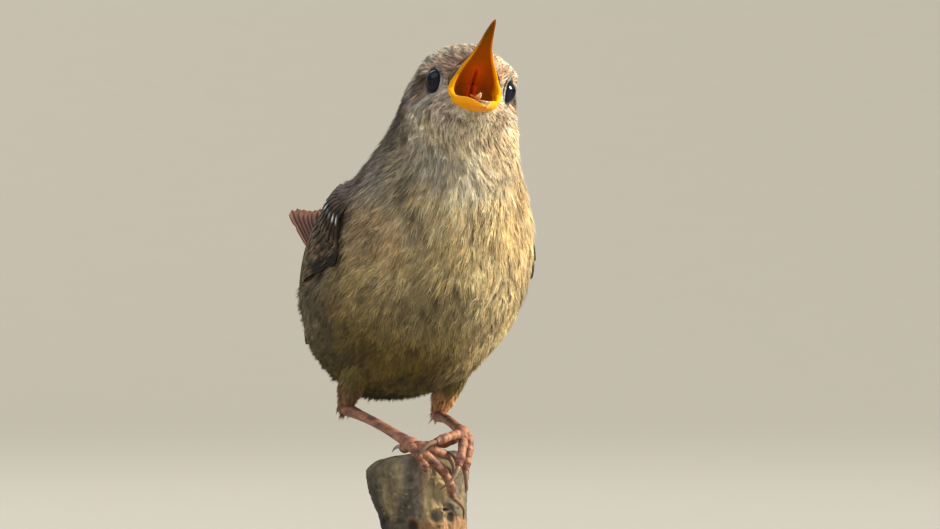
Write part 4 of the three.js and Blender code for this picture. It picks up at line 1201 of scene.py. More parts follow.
            uv = np.stack([0.02 + 0.45 * leg + 0.4 * (angle / (2 * np.pi) + 0.5), 0.83 + 0.15 * t], -1)
            whole = f"coat_thigh_{name}"
            pieces += coat_pieces(whole, surface, (t, angle), sizes, shapes, colour_of, uv, rng)
        return pieces


# Wings and tail


def wing_degrees(side, along, down, further):
    """Degrees down from the back at a share of the wing's length and of its depth, then some further down,
    and those of the wing's lower edge."""
    top, bottom = wing_edges(along, side)
    return top * (1 - down) + bottom * down + further, bottom


def wing_point(side, along, down, lift, further=0.0):
    """Point over the body's side at a share of the wing's length and of its depth, then some degrees further
    down, lifted off the coat."""
    degrees, _ = wing_degrees(side, along, down, further)
    middle, _, left, up, wide, back, breast, *_ = body_at(WING_FROM + (WING_TO - WING_FROM) * along)
    angle = side * np.radians(degrees)
    sin, cos = np.sin(angle), np.cos(angle)
    rise = (np.where(cos > 0, back, breast) + lift) * cos
    return middle + left * ((wide + lift) * sin)[..., None] + up * rise[..., None]


def wing_bulge(along, down):
    """How far the wing stands out, most at the shoulder and along its middle."""
    return 0.12 + 0.3 * (1 - (2 * down - 1) ** 2) * (1 - along)


def vane_grid(rows):
    """Share along a flight feather, in steps that shorten to its tip, and place across it from -1 to 1."""
    return crossed(np.linspace(0, 1, rows) ** 0.85, np.linspace(-1, 1, VANE_COLUMNS))


def vane_outline(s, w, rng, point):
    """Half width of a flight feather as a share: a narrow base, straight sides and a rounded or pointed tip,
    with a few small splits in its edge."""
    base = 0.45 + 0.55 * smooth(s, 0.0, 0.3)
    past = np.clip((s - point) / (1 - point), 0, 1)
    outline = base * np.sqrt(np.clip(1 - past**2.2, 0, 1))
    for _ in range(3):
        place, side = rng.uniform(0.35, 0.95), rng.choice([-1, 1])
        outline = outline * (1 - 0.2 * bell(s, place, 0.012) * (w * side > 0.5))
    return outline


def vane_colour(kind, s, w, length, flight, rng):
    """Brown ground with bars across both webs, paler along the outer edge. Tail feathers have orange brown
    edges, and coverts carry a whitish tip spot."""
    millimetres = s * length
    skew = 0.7 * np.abs(w)
    ripple = np.sin((millimetres - skew) * 2 * np.pi / BAR_SPACING + rng.uniform(0, 6.3))
    bar = smooth(ripple, -0.1, 0.5)
    colour = mix(flight["dark"], flight["rufous"], bar * (0.95 if kind == "barred" else 0.6))
    if kind in ("tail", "outermost"):
        edge = 0.85 if kind == "outermost" else 0.25
        colour = mix(flight["plum"] * 0.7, flight["plum"], bar)
        colour = mix(colour, flight["edge"], edge * smooth(np.abs(w), 0.4, 0.9) + 0.5 * smooth(s, 0.93, 0.98))
    if kind == "barred":
        colour = mix(colour, flight["pale"], 0.85 * smooth(w, 0.1, 0.7) * smooth(ripple, 0.1, 0.6))
    if kind in ("spotted", "tipped"):
        colour = mix(colour, flight["dark"] * 0.5, 0.8 * bell(s, 0.76, 0.1))
        tall, aside = rng.uniform(0.45, 0.8), rng.uniform(-0.15, 0.25)
        spot = np.exp(-(((millimetres - length + 0.85) / tall) ** 2 + ((w - aside) / 0.42) ** 2) ** 1.5)
        strength = rng.uniform(0.45, 1.0)
        colour = mix(colour, flight["spot"] if kind == "spotted" else flight["pale"], strength * spot)
    colour = mix(colour, flight["dark"] * 0.7, 0.6 * bell(w, 0, 0.07))
    return colour * rng.uniform(0.88, 1.12)


class WREN_OT_wings(Operator):
    """Folded wings: rows of vanes over one another on a dark shell"""

    bl_idname = "wren.wings"
    bl_label = "Wings"

    def execute(self, context):
        settings = context.scene.wren_flight
        flight = palette(settings)
        material = tinted("flight_feather", 0.6, 0.16, 2400, 0.3, 0.00006, Specular_IOR_Level=0.25)
        for side, name in SIDES:
            rng = np.random.default_rng(60 + side)
            parts = [self.core(side, flight)]
            for count, roots, tips, half, lift, kind in WING_ROWS:
                for t in np.linspace(0, 1, count):
                    ends = mix(*roots, t), mix(*tips, t)
                    wide = half * rng.uniform(0.93, 1.07)
                    parts.append(self.vane(side, *ends, wide, lift + 0.15 * t, kind, settings, flight, rng))
            show_parts(f"wing_feathers_{name}", parts, material, "wing_feathers", f"wing_{name}")
        return {"FINISHED"}

    def core(self, side, flight):
        """Shell under the feathers: the wing's surface inside its outline, thickest at the shoulder. Its
        feather brown at 0.6 is painted shade under the vanes.
        """
        ss, ww = crossed(np.linspace(0.1, 0.84, 40), np.linspace(-1, 1, 24))
        down = 0.5 + 0.36 * ww
        top = wing_point(side, ss, down, WING_CLEAR + wing_bulge(ss, down) * 0.8 * smooth(ss, 0.05, 0.4))
        bottom = wing_point(side, ss, down, WING_CLEAR - 0.4)
        return *plate(top, bottom), flight["dark"] * 0.6

    def vane(self, side, root, tip, half, lift, kind, settings, flight, rng):
        """Flight feather or covert: a strip from its root to its tip over the wing, its lower edge raised
        over the next one below, with a raised shaft."""
        ss, ww = vane_grid(30)
        along, down = (root[k] + (tip[k] - root[k]) * ss for k in (0, 1))
        wide = body_at(WING_FROM + (WING_TO - WING_FROM) * along)[4]
        further = np.degrees(ww * half * vane_outline(ss, ww, rng, 0.86) / wide)
        sunk = 0.5 * (1 - np.minimum(4 * ss, 1))
        over = 0.12 * ww + lift - sunk + wing_bulge(along, down) * (1 - 0.2 * ss)
        over = over + 0.06 * bell(ww, 0, 0.12) - 0.05 * rng.uniform() * ss
        shown = smooth(along, -0.04, 0.07)
        over = np.maximum(over, 0.2) * shown - (1 - shown)
        heights = WING_CLEAR + over, WING_CLEAR + over - settings.vane_thick / MM
        top, bottom = (wing_point(side, along, down, height, further) for height in heights)
        run = np.linalg.norm(top[-1, VANE_COLUMNS // 2] - top[0, VANE_COLUMNS // 2])
        colour = vane_colour(kind, ss, ww, run, flight, rng)
        mottling = 0.45 * noise(top, 1.3, 64) + 0.35 * noise(top, 0.55, 65)
        colour = colour * (1 + mottling * (1 if lift > 0.35 else 0.5))[..., None]
        colour = mix(colour, flight["dark"] * 0.06, self.shade(side, along, down, further)).reshape(-1, 3)
        # The underside at 0.8 of the top's colour: painted shade
        return *plate(top, bottom), np.concatenate([colour, colour * 0.8])

    def shade(self, side, along, down, further):
        """Share of shade at the wing's lower edge, where it goes in under the flank feathers: a band some
        degrees deep over part of its length."""
        degrees, lowest = wing_degrees(side, along, down, further)
        first, full, ending, last = WING_SLOT
        length = smooth(along, first, full) * (1 - smooth(along, ending, last))
        start = lowest - WING_SLOT_DEGREES
        return (0.95 if side < 0 else 0.5) * length * smooth(degrees, start, start + 3)


class WREN_OT_tail(Operator):
    """Cocked tail: pairs of barred feathers fanned under the middle pair, with coverts at its base"""

    bl_idname = "wren.tail"
    bl_label = "Tail"

    def execute(self, context):
        settings = context.scene.wren_flight
        flight = palette(settings)
        rng = np.random.default_rng(70)
        parts = []

        def grow_vane(*shape):
            parts.append(self.vane(*shape, settings, flight, rng))

        for side, _ in SIDES:
            for i in range(TAIL_PAIRS):
                length, half = TAIL_LENGTH - 0.3 + 0.045 * i * i, 2.3 - 0.22 * i
                kind = "outermost" if i == TAIL_PAIRS - 1 else "tail"
                grow_vane(length, half, side * (0.8 + TAIL_FAN * i), 0.55 - 0.2 * i, -0.09 * side, kind)
            for swing, length in TAIL_COVERTS:
                for face in (1, -1):
                    grow_vane(length, 1.9, side * swing, 1.1 * face, -0.12 * side * face, "plain")
        material = tinted("tail_feather", 0.6, 0.16, 2400, 0.3, 0.00006, Specular_IOR_Level=0.25)
        show_parts("tail_feathers", parts, material, "tail_feathers", "tail")
        return {"FINISHED"}

    def vane(self, length, half, swing, lift, tilt, kind, settings, flight, rng):
        """Tail feather: a strip from the root along its own direction, swung aside and tilted across, arched
        down at its edges."""
        ss, ww = vane_grid(34)
        aside = ww * half * vane_outline(ss, ww, rng, 0.9) ** 0.75 + 0.2 * swing * ss**4
        along = ss * length * rng.uniform(0.992, 1.006)
        angle = math.radians(swing)
        left = along * math.sin(angle) + aside * math.cos(angle)
        ahead = along * math.cos(angle) - aside * math.sin(angle)
        top = lift + tilt * aside - 0.03 * aside**2 + 0.06 * bell(ww, 0, 0.1)
        cos, sin = math.cos(TAIL_COCK), math.sin(TAIL_COCK)
        faces = [
            TAIL_ROOT + np.stack([left, ahead * cos - up * sin, ahead * sin + up * cos], -1)
            for up in (top, top - settings.vane_thick / MM)
        ]
        colour = vane_colour(kind, ss, ww, length, flight, rng).reshape(-1, 3)
        # The underside at 0.9 of the top's colour: painted shade
        return *plate(*faces), np.concatenate([colour, colour * 0.9])


# Eyes


def ball(centre, radius, axis, rows=40, columns=48, bulge=0.0):
    """Ball round an axis, whose front may stand out by a bulge, with each point's angle from that axis."""
    other = unit(np.cross(axis, np.array([0.3, 0.1, 0.9])))
    third = np.cross(axis, other)
    theta, phi = crossed(np.linspace(0.02, np.pi - 0.02, rows), circle(columns))
    out = radius + bulge * bell(theta, 0, 0.55)
    points, triangles = rounded(
        centre
        + axis * (out * np.cos(theta))[..., None]
        + other * (out * np.sin(theta) * np.cos(phi))[..., None]
        + third * (out * np.sin(theta) * np.sin(phi))[..., None]
    )
    return points, outward(points, triangles), np.concatenate([theta.ravel(), [0.0, np.pi]])


class WREN_OT_eyes(Operator):
    """Glossy dark eyes and the wrinkled lids round them"""

    bl_idname = "wren.eyes"
    bl_label = "Eyes"

    def execute(self, context):
        face = palette(context.scene.wren_face)
        glass = tinted("eye_gloss", 0.05, 0.0, 900, 0.0, 0.0001, Specular_IOR_Level=0.22)
        lid_skin = tinted("lid_skin", 0.6, 0.3, 3000, 0.6, 0.0001)
        for side, name in SIDES:
            points, triangles, theta = ball(eye_centre(side), EYE_RADIUS, eye_axis(side), bulge=CORNEA_BULGE)
            # The bluish tint of the iris colour is a painted reflection
            colour = mix(face["iris"] * 0.12, face["iris"], smooth(theta, 0.42, 0.5))
            colour = mix(colour, face["iris"] * 0.2, smooth(theta, 0.8, 0.95))
            show_parts(f"eyeball_{name}", [(points, triangles, colour)], glass, "eye", f"eye_{name}")
            show_parts(f"lids_{name}", [self.lids(side, face)], lid_skin, "plumage")
        return {"FINISHED"}

    def lids(self, side, face):
        """Lids: a ring round the eye's axis, oval along the head, its thickness waved by fine folds, and
        fanned out over the skin round it."""
        axis = eye_axis(side)
        ahead = unit(HEAD_AHEAD - axis * (HEAD_AHEAD @ axis))
        above = np.cross(axis, ahead) * -side
        rows, columns = 96, 16
        turn, across = crossed(circle(rows), circle(columns))
        fold = 0.05 * np.sin(turn * 17) + 0.04 * np.sin(turn * 29 + 1)
        thick = 0.17 + fold * (0.5 + 0.5 * np.cos(across))
        radius = LID_RADIUS + 0.16 + thick * np.cos(across) * 1.5
        height = LID_HEIGHT + 0.02 + thick * np.sin(across) * 0.9
        points = (
            eye_centre(side)
            + ahead * (radius * np.cos(turn) * 1.03)[..., None]
            + above * (radius * np.sin(turn) * 0.97)[..., None]
            + axis * height[..., None]
        )
        below = smooth(-np.sin(turn), 0.0, 0.7)
        pale = np.clip(0.05 + 0.6 * below + 0.35 * np.cos(across) + 0.3 * np.sin(turn * 5), 0, 1)
        colour = mix(face["lid"], face["lid_pale"], pale).reshape(-1, 3)
        return points, outward(points, grid_triangles(rows, columns, True, ring=True)), colour


# Bill and mouth


def lower_point(along, above, left):
    """Point of the lower half of the bill, which hangs open from the gape."""
    forward = along * math.cos(LOWER_BILL_DROP) + above * math.sin(LOWER_BILL_DROP)
    up = -along * math.sin(LOWER_BILL_DROP) + above * math.cos(LOWER_BILL_DROP)
    return head_point(GAPE[0] + forward, GAPE[1] + up, left)


def palate_relief(along, left):
    """Heights of the two ridges at the back of the palate and of the slit between them, 0 to 1."""
    reach = smooth(along, -0.5, 0.5) * (1 - smooth(along, 3.2, 4.6))
    return bell(np.abs(left), 0.62, 0.34) * reach, bell(left, 0, 0.19) * reach


def base_seam():
    """Triangles that close the base ring of a bill half between its outer and its inner arch."""
    a = np.arange(BILL_OUTER - 1)
    b, c = (
        np.clip(np.round((a + step) * (BILL_INNER - 1) / (BILL_OUTER - 1)).astype(int), 0, BILL_INNER - 1)
        for step in (-0.5, 0.5)
    )
    b, c = (BILL_OUTER + BILL_INNER - 1 - row for row in (b, c))
    return np.concatenate([np.stack([a, a + 1, c], -1), np.stack([a, c, b], -1)[b != c]])


def bill_half(place, stations, palate, tip_blunt, face, colour_of, carved=0.0):
    """Half of the bill: at each station an outer arch from edge to edge over the ridge, then an inner arch
    back, both a width times the sine and a height times a power of the cosine of an angle. palate is the
    inner arch's share of the height at the base, and carved the depth of the palate's relief."""
    outer = np.linspace(-np.pi / 2, np.pi / 2, BILL_OUTER)
    inner = np.linspace(np.pi / 2, -np.pi / 2, BILL_INNER + 2)[1:-1]
    ss, aa = crossed(np.linspace(0, 1, BILL_ROWS), np.concatenate([outer, inner]))
    ins = np.broadcast_to(np.concatenate([0 * outer, 1 + 0 * inner]), ss.shape)
    along, edge, ridge, wide = (spline(stations[name], ss) for name in ("along", "edge", "ridge", "wide"))
    near_tip = np.sqrt(np.clip((1 - ss) / tip_blunt, 0, 1))
    height = (ridge - edge) * near_tip
    left = wide * near_tip * (1 - 0.17 * ins * (1 - smooth(ss, 0.85, 1))) * np.sin(aa)
    arch = np.maximum(np.cos(aa), 0)
    rise = np.where(ins > 0, height * (palate - 0.1 * ss) * arch**0.9, height * arch**0.75)
    lip = 0.16 * np.sign(ridge - edge) * (1 - arch) ** 4 * (1 - ins) * near_tip
    ridges, slit = palate_relief(along, left)
    up = edge + rise - lip + carved * (0.45 * slit - 0.3 * ridges) * ins
    points, triangles = rounded(place(along, up, left))
    open_base = triangles[(triangles != ss.size).all(1)]
    triangles = outward(points, np.concatenate([open_base, base_seam()]))
    return points, triangles, capped(colour_of(face, ss, aa, ins, along, left))


class WREN_OT_bill(Operator):
    """Open bill with its yellow rims, orange palate, red throat and pale tongue"""

    bl_idname = "wren.bill"
    bl_label = "Bill"

    def execute(self, context):
        face = palette(context.scene.wren_face)
        soft = {"Subsurface_Weight": 0.35, "Subsurface_Scale": 0.0012, "Subsurface_Radius": (1.0, 0.4, 0.1)}
        horn = tinted("bill_horn", 0.42, 0.12, 1500, 0.25, 0.0001, Specular_IOR_Level=0.04, **soft)
        flesh = tinted("mouth_flesh", 0.45, 0.15, 1200, 0.4, 0.0001, Specular_IOR_Level=0.1)
        upper = bill_half(head_point, UPPER_BILL, 0.74, 0.06, face, self.upper_colour, carved=1.0)
        lower = bill_half(lower_point, LOWER_BILL, 0.7, 0.08, face, self.lower_colour)
        lining = [self.throat(face), self.gape(-1, face), self.gape(1, face)]
        show_parts("bill_upper_horn", [upper], horn, "bill", "bill_upper")
        show_parts("bill_lower_horn", [lower], horn, "bill", "bill_lower")
        show_parts("mouth_lining", lining, flesh, "mouth")
        show_parts("tongue_flesh", [self.tongue(face)], flesh, "mouth", "tongue")
        return {"FINISHED"}

    def upper_colour(self, face, ss, aa, ins, along, left):
        """Brown horn with yellow edges and nostrils darkened as painted shade outside; orange with a red
        middle and a slit darkened as painted shade inside, darker at the tip."""
        nostril = bell(np.hypot((along - NOSTRIL) / 2.4, np.abs(aa) - 0.9), 0, 0.3)
        edge = bell(np.abs(aa), np.pi / 2, 0.16) * (1 - smooth(ss, 0.4, 0.8))
        outer = mix(face["horn"], face["rim"], np.clip(edge, 0, 1))
        # Painted shade in the nostrils' openings
        outer = mix(outer, face["horn"] * 0.15, np.clip(nostril * 1.4, 0, 1))
        inner = mix(face["rim"], face["palate"], smooth(np.cos(aa), 0.12, 0.55))
        ridge, slit = palate_relief(along, left)
        red = bell(left, 0, 1.3) * (1 - smooth(along, 3.0, 7.5))
        inner = mix(inner, face["deep"], np.clip(0.75 * red, 0, 1))
        inner = mix(inner, face["palate"] * 0.8, 0.35 * ridge)
        # Painted shade in the slit of the palate
        inner = mix(inner, face["deep"] * 0.2, np.clip(slit, 0, 1))
        inner = mix(inner, face["tip"], 0.9 * smooth(ss, 0.5, 0.85))
        return mix(outer, inner, ins)

    def lower_colour(self, face, ss, aa, ins, along, left):
        """Yellow outside, browner at the tip, and orange inside."""
        outer = mix(face["rim"], face["rim"] * np.array([1.0, 0.8, 0.5]), 0.6 * np.cos(aa))
        outer = mix(outer, face["horn"] * 1.6, 0.4 * smooth(ss, 0.75, 1))
        inner = mix(face["rim"], face["palate"], smooth(np.cos(aa), 0.1, 0.6))
        return mix(outer, inner, ins)

    def throat(self, face):
        """Back of the mouth: rings of a tilted oval round its opening, drawn together and back into a shallow
        bowl, with two ridges beside a slit down its middle, and an outer wall just behind it."""
        tt, aa = crossed(np.linspace(0, 0.995, 40), circle(96))
        share = 1 - tt
        left = 3.8 * np.sin(aa) * share
        rise = 1.85 * np.cos(aa) * share
        ridge, slit = palate_relief(1.0, left)
        along = 0.9 + 0.55 * np.cos(aa) * share - 1.5 * (1 - share**2) + 0.5 * ridge - 0.8 * slit
        inner = head_point(along, -3.65 + rise, left)
        outer = head_point(along - 0.45, -3.65 + rise * 1.03, left * 1.03)
        colour = mix(face["palate"], face["deep"], 0.75 * (1 - smooth(np.abs(left), 0.4, 1.6)))
        # Painted shade in the slit down the middle
        colour = mix(colour, face["deep"] * 0.2, np.clip(slit, 0, 1))
        colour = mix(colour, face["rim"], 0.1 * smooth(np.abs(left), 2.2, 3.4)).reshape(-1, 3)
        return *plate_ring(inner, outer), np.concatenate([colour, colour])

    def gape(self, side, face):
        """Swollen yellow corner of the gape: a short tube bowed round the corner between the two halves."""
        route = [
            head_point(4.6, -3.7, 3.2 * side),
            head_point(3.1, -4.5, 3.85 * side),
            head_point(2.3, -5.2, 3.95 * side),
            lower_point(2.0, -0.75, 3.75 * side),
            lower_point(3.6, -0.75, 3.3 * side),
        ]

        def colour(t, angle):
            return np.broadcast_to(face["rim"] * np.array([1.05, 1.08, 1.0]), (*t.shape, 3))

        return tube(route, [0.2, 0.42, 0.52, 0.42, 0.2], 20, 40, HEAD_LEFT * side, colour)

    def tongue(self, face):
        """Tongue: a flat tapering strip over the floor of the mouth, with a groove along it."""
        ss, ww = crossed(np.linspace(0, 1, 40), np.linspace(-1, 1, 15))
        half = 1.0 * np.maximum(1 - ss, 0.03) ** 0.6 * (0.75 + 0.25 * np.minimum(4 * ss, 1))
        above = -0.62 + 1.5 * ss**3 + 0.12 * ww**2 - 0.1 * bell(ww, 0, 0.2)
        along = 0.2 + TONGUE_LENGTH * ss
        top = lower_point(along, above + 0.1, half * ww)
        bottom = lower_point(along, above - 0.35 * np.sqrt(np.maximum(1 - ww**2, 0.01)), half * ww)
        colour = mix(face["palate"], face["tongue"], smooth(ss, 0.5, 0.95)).reshape(-1, 3)
        return *plate(top, bottom), np.concatenate([colour, colour])


# Legs


def perch_middle(z):
    """Middle line of the stick at a height above or below the toes."""
    z = np.asarray(z, float)
    lean = spline(PERCH_LEAN, 1 + z / PERCH_LENGTH)
    return VIEW_RIGHT * lean[..., None] + np.stack([0 * z, 0 * z, z], -1)


def beside_perch(degrees, distance, z):
    """Point at degrees round the stick, a distance out from its middle line, and a height."""
    angle = np.radians(np.asarray(degrees, float))
    distance = np.asarray(distance, float)
    return perch_middle(z) + np.stack([distance * np.sin(angle), -distance * np.cos(angle), 0 * angle], -1)


def scuted(count, step, pads):
    """Radius of a scaled tube: on its upper half each scute rises slowly and drops to the next one, on its
    lower half small round pads follow one another."""

    def shape(t, angle, radius):
        saw = (t * count) % 1.0
        scute = step * (saw - 0.5) - 0.6 * step * bell(saw, 0.0, 0.07)
        pad = 0.035 * np.sin(t * pads * 2 * np.pi) * np.cos(angle * 5)
        top = smooth(np.cos(angle), -0.2, 0.4)
        return radius * (1 + scute * top + pad * (1 - top))

    return shape


def scute_colour(count, pads, colours, darkness):
    """Colour of a scaled tube: flesh with blotches of painted purplish shade and a dark crease between
    scutes.
    """

    def colour(t, angle):
        saw = (t * count) % 1.0
        line = np.clip(bell(saw, 0.0, 0.1) + bell(saw, 1.0, 0.06), 0, 1) * smooth(np.cos(angle), -0.2, 0.3)
        under = smooth(-np.cos(angle), 0.0, 0.7)
        base = mix(colours["flesh"], colours["flesh"] * np.array([1.15, 0.95, 0.75]), under)
        # Painted shade as purplish blotches
        leg_shade_pattern = np.sin(t * 13 + 2.2 * np.cos(angle)) + 0.7 * np.sin(t * 31 + 2 * angle)
        base = mix(base, colours["dusk"], 0.75 * smooth(leg_shade_pattern, -0.2, 1.2))
        uneven = 0.25 * np.sin(t * 37 + 2 * np.sin(angle)) * np.cos(2 * angle + t * 11)
        base = base * (1 + uneven)[..., None]
        between = 0.15 * under * (np.sin(t * pads * 2 * np.pi) < -0.3)
        return mix(base, colours["crease"], darkness * line + between)

    return colour


class WREN_OT_legs(Operator):
    """Shanks and feet with scutes and pads, and curved claws"""

    bl_idname = "wren.legs"
    bl_label = "Legs"

    def execute(self, context):
        settings = context.scene.wren_legs
        colours = palette(settings)
        scaled = tinted("leg_scutes", 0.5, 0.25, 2200, 0.5, 0.0001, Specular_IOR_Level=0.35)
        horn = tinted("claw_horn", 0.3, 0.15, 1800, 0.2, 0.00006)
        for leg, (_, name) in enumerate(SIDES):
            digits = TOES[leg]
            parts = [self.shank(leg, settings, colours), self.pad(leg, colours)]
            parts += [self.toe(leg, toe, colours) for toe, _ in digits.values()]
            claws = [self.claw(toe, claw, colours) for toe, claw in digits.values()]
            nodes = [f"claw_{name}_{digit}" for digit in digits]
            show_parts(f"leg_{name}", parts, scaled, "leg_skin", f"shank_{name}", f"foot_{name}")
            show_parts(f"claws_{name}", claws, horn, "claw_horn", *nodes)
        return {"FINISHED"}

    def shank(self, leg, settings, colours):
        """Shank: a slightly bowed tube from just behind the ankle to the foot."""
        ankle, foot = ANKLES[leg], FEET[leg]
        route = [ankle + (ankle - foot) * 0.02, (ankle + foot) / 2 + np.array([0, 0, 0.35]), foot]
        colour = scute_colour(settings.scutes, 30, colours, 0.3)
        shape = scuted(settings.scutes, 0.05, 30)
        return tube(route, SHANK_RADII, 28, 150, (0, -0.6, 0.8), colour, shape)

    def pad(self, leg, colours):
        """Ball of the foot, where the toes meet."""
        points, triangles, _ = ball(FEET[leg], FOOT_RADIUS, np.array([0.0, 0, 1.0]), 24, 32)
        return points, triangles, colours["flesh"]

    def toe(self, leg, toe, colours):
        """Toe: a tube from the foot along its route, with scutes on the side away from the stick."""
        route = [FEET[leg], *(beside_perch(*step) for step in toe)]
        path, _ = curve_through(route, 90)
        dorsal = unit(path - perch_middle(np.minimum(path[:, 2], -2.0)) + np.array([0, 0, 2.0]))
        length = np.linalg.norm(np.diff(path, axis=0), axis=1).sum()
        count = max(int(round(length / TOE_SCUTE)), 4)
        radii = [r * TOE_RADIUS for r in TOE_RADII]
        colour = scute_colour(count, 14, colours, 0.6)
        return tube(route, radii, 24, 90, dorsal, colour, scuted(count, 0.06, 14))

    def claw(self, toe, claw, colours):
        """Claw: a tube that starts inside the toe's end, a little narrower across, and darkens to its tip."""
        route = np.array([beside_perch(*step) for step in [toe[-1], *claw]])
        start = route[0] + (route[0] - route[1]) * 0.25
        radii = [k * CLAW_RADIUS for k in CLAW_RADII]
        degrees, distance, z = claw[1]
        outer = beside_perch(degrees, distance + 4, z + 3) - perch_middle(z)

        def colour(t, angle):
            return mix(colours["claw"] * 1.1, colours["claw"] * 0.32, smooth(t, 0.45, 1.0))

        def shape(t, angle, radius):
            return radius * (1 - 0.18 * np.abs(np.sin(angle)))

        return tube([start, *route], radii, 18, 50, outer, colour, shape)


# Stick and stand


def knots(z, degrees):
    """Shares inside the knots and on their rims, by the distance to a knot's middle in its half sizes."""
    hollow, rim = 0 * z, 0 * z
    for turn, height, wide, tall in KNOTS:
        aside = np.radians((degrees - turn + 180) % 360 - 180) * PERCH_RADII[4]
        away = np.hypot(aside / wide, (z - height) / tall)
        hollow = np.maximum(hollow, np.exp(-(away**6)))
        rim = np.maximum(rim, bell(away, 1.3, 0.25))
    return hollow, rim


def perch_surface(z, degrees):
    """Side of the stick: its radius at a height, uneven in three and five waves round, with a swelling, long
    cracks, knots, and bark roughness from noise at three sizes."""
    angle = np.radians(degrees)
    swelling = 0.9 * np.exp(-(((degrees - 345) / 26) ** 2 + ((z + 11) / 3.2) ** 2))
    uneven = 0.16 * np.sin(3 * angle + 1) + 0.12 * np.sin(5 * angle + z / 5)
    radius = spline(PERCH_RADII, 1 + z / PERCH_LENGTH) + swelling + uneven
    place = np.stack([8 * np.cos(angle), 8 * np.sin(angle), z], -1)
    stretched = drawn_up(place, 0.35)
    rough = 0.2 * noise(stretched, 1.6, 81) + 0.12 * noise(place, 0.7, 82) + 0.06 * noise(place, 0.35, 83)
    crack = -0.28 * smooth(np.abs(noise(stretched * 0.9, 2.3, 84)), 0.09, 0.0)
    hollow, rim = knots(z, degrees)
    return radius + (rough + crack) * (1 - 0.7 * hollow) - 0.4 * hollow + 0.08 * rim - 0.15


class WREN_OT_perch(Operator):
    """Cut stick with its bark"""

    bl_idname = "wren.perch"
    bl_label = "Stick"

    def execute(self, context):
        colours = palette(context.scene.wren_perch)
        heights = np.linspace(-PERCH_LENGTH, PERCH_SIDE_TOP, 170)
        zz, dd = crossed(heights, np.linspace(0, 360, 230, endpoint=False))
        radius = perch_surface(zz, dd)
        rings = np.concatenate([beside_perch(dd, radius, zz), *self.end_rings(dd[-1:], radius[-1:])])
        points, triangles = rounded(rings)
        colour = capped(self.bark_colour(rings, dd[0], colours))
        bark = tinted("bark", 0.85, 0.35, 900, 0.7, 0.0003)
        show_parts("perch_bark", [(points, outward(points, triangles), colour)], bark, "bark", "perch")
        return {"FINISHED"}

    def end_rings(self, degrees, radius):
        """Rings over the stick's rounded corner and in across its cut end, which slants, falls off on one
        side and is rough. Each has its inset from the side and its share of the way up to the end."""
        narrowest = radius.min()
        corner = [(PERCH_CORNER * (1 - math.cos(a)), math.sin(a)) for a in np.linspace(0, np.pi / 2, 16)[1:]]
        inner = [PERCH_CORNER + (narrowest - PERCH_CORNER) * share for share in np.linspace(0.08, 0.995, 22)]
        rings = []
        for inset, lift in corner + [(inset, 1.0) for inset in inner]:
            out = np.maximum(radius * (1 - inset / narrowest), 0.02)
            ring = beside_perch(degrees, out, 0 * out)
            across = ring @ VIEW_RIGHT
            slope = PERCH_TOP_LEVEL + PERCH_TOP_SLANT * across - 0.02 * np.maximum(-across - 2, 0) ** 2
            rough = 0.1 * noise(ring, 1.1, 91) + 0.06 * noise(ring, 0.5, 92)
            ring[..., 2] = PERCH_SIDE_TOP * (1 - lift) + (slope + rough - 0.1) * lift
            rings.append(ring)
        return rings

    def bark_colour(self, p, degrees, colours):
        """Grey olive bark with painted shade on the left side and painted light in front, where the yellowish
        patches gather too, peeled to orange brown low on the right front, with pale lichen specks and dark
        knots whose hollows are painted shade."""
        z = p[..., 2]
        tone = 1 + 0.4 * noise(drawn_up(p, 0.4), 1.8, 95) + 0.35 * noise(p, 0.6, 96)
        colour = colours["bark"] * tone[..., None]
        signed = (degrees + 180) % 360 - 180
        # Yellowish patches, gathered in front as painted light
        lit = smooth(noise(drawn_up(p, 0.3), 2.4, 94) + 0.5 * bell(signed, -18, 34), 0.15, 0.8)
        colour = mix(colour, colours["moss"] * tone[..., None], 0.75 * lit)
        streak = smooth(noise(drawn_up(p, 0.16), 0.5, 93), 0.1, 0.6)
        # Painted shade on the side turned away from the light, and painted light in front
        painted_side_shade = 0.38 * bell(signed, -98, 36)
        light = (1 - 0.25 * streak) * (1 - painted_side_shade) * (1 + 0.85 * bell(signed, -22, 36))
        colour = colour * light[..., None]
        edge = noise(p, 1.6, 97) * 0.9
        patch = smooth(-(z + PEEL_TOP + edge), 0, 0.5) * smooth(signed + edge * 4, -46, -42)
        patch = patch * (1 - smooth(signed + edge * 4, 52, 60)) * smooth(z + edge * 2, -20, -18)
        hollow, rim = knots(z, degrees)
        wood = colours["peeled"] * (1 + 0.45 * noise(drawn_up(p, 0.25), 0.8, 98))[..., None]
        colour = mix(colour, wood, np.clip(0.9 * patch + 0.25 * rim, 0, 0.9))
        lichen = smooth(noise(p, 0.55, 99), 0.6, 0.75) * smooth(noise(p, 5.0, 100), -0.3, 0.4)
        colour = mix(colour, colours["lichen"], 0.5 * lichen)
        # Painted shade in the hollows of the knots, the hole and the slit
        return mix(colour, colours["bark"] * 0.22, 0.95 * hollow)


# Profiles of the turned pieces, as radius and height
BASE_PROFILE = [
    (39.2, 0),
    *arc(39.4, 0.6, 0.6, -90, 0),
    *arc(38.8, 3.2, 1.2, 0, 90),
    (38.5, 4.5),
    *arc(38.4, 5.9, 1.3, 250, 180),
    (37.4, 7.0),
    *arc(36.6, 7.2, 0.8, 0, 90),
    (20, 8.0),
    (4, 8.0),
]
ROD_PROFILE = [
    (3.55, 8.3),
    (3.6, 8.9),
    (3.3, 9.2),
    (2.6, 9.4),
    (2.1, 9.8),
    (2.0, 10.4),
    (2.0, 19.0),
    (2.0, 19.7),
]
FLOOR_PROFILE = [(60, 0), (200, 0), (600, 0), (1500, 0), (2600, 0), *arc(2600, 5000, 5000, -88, -45, 22)]


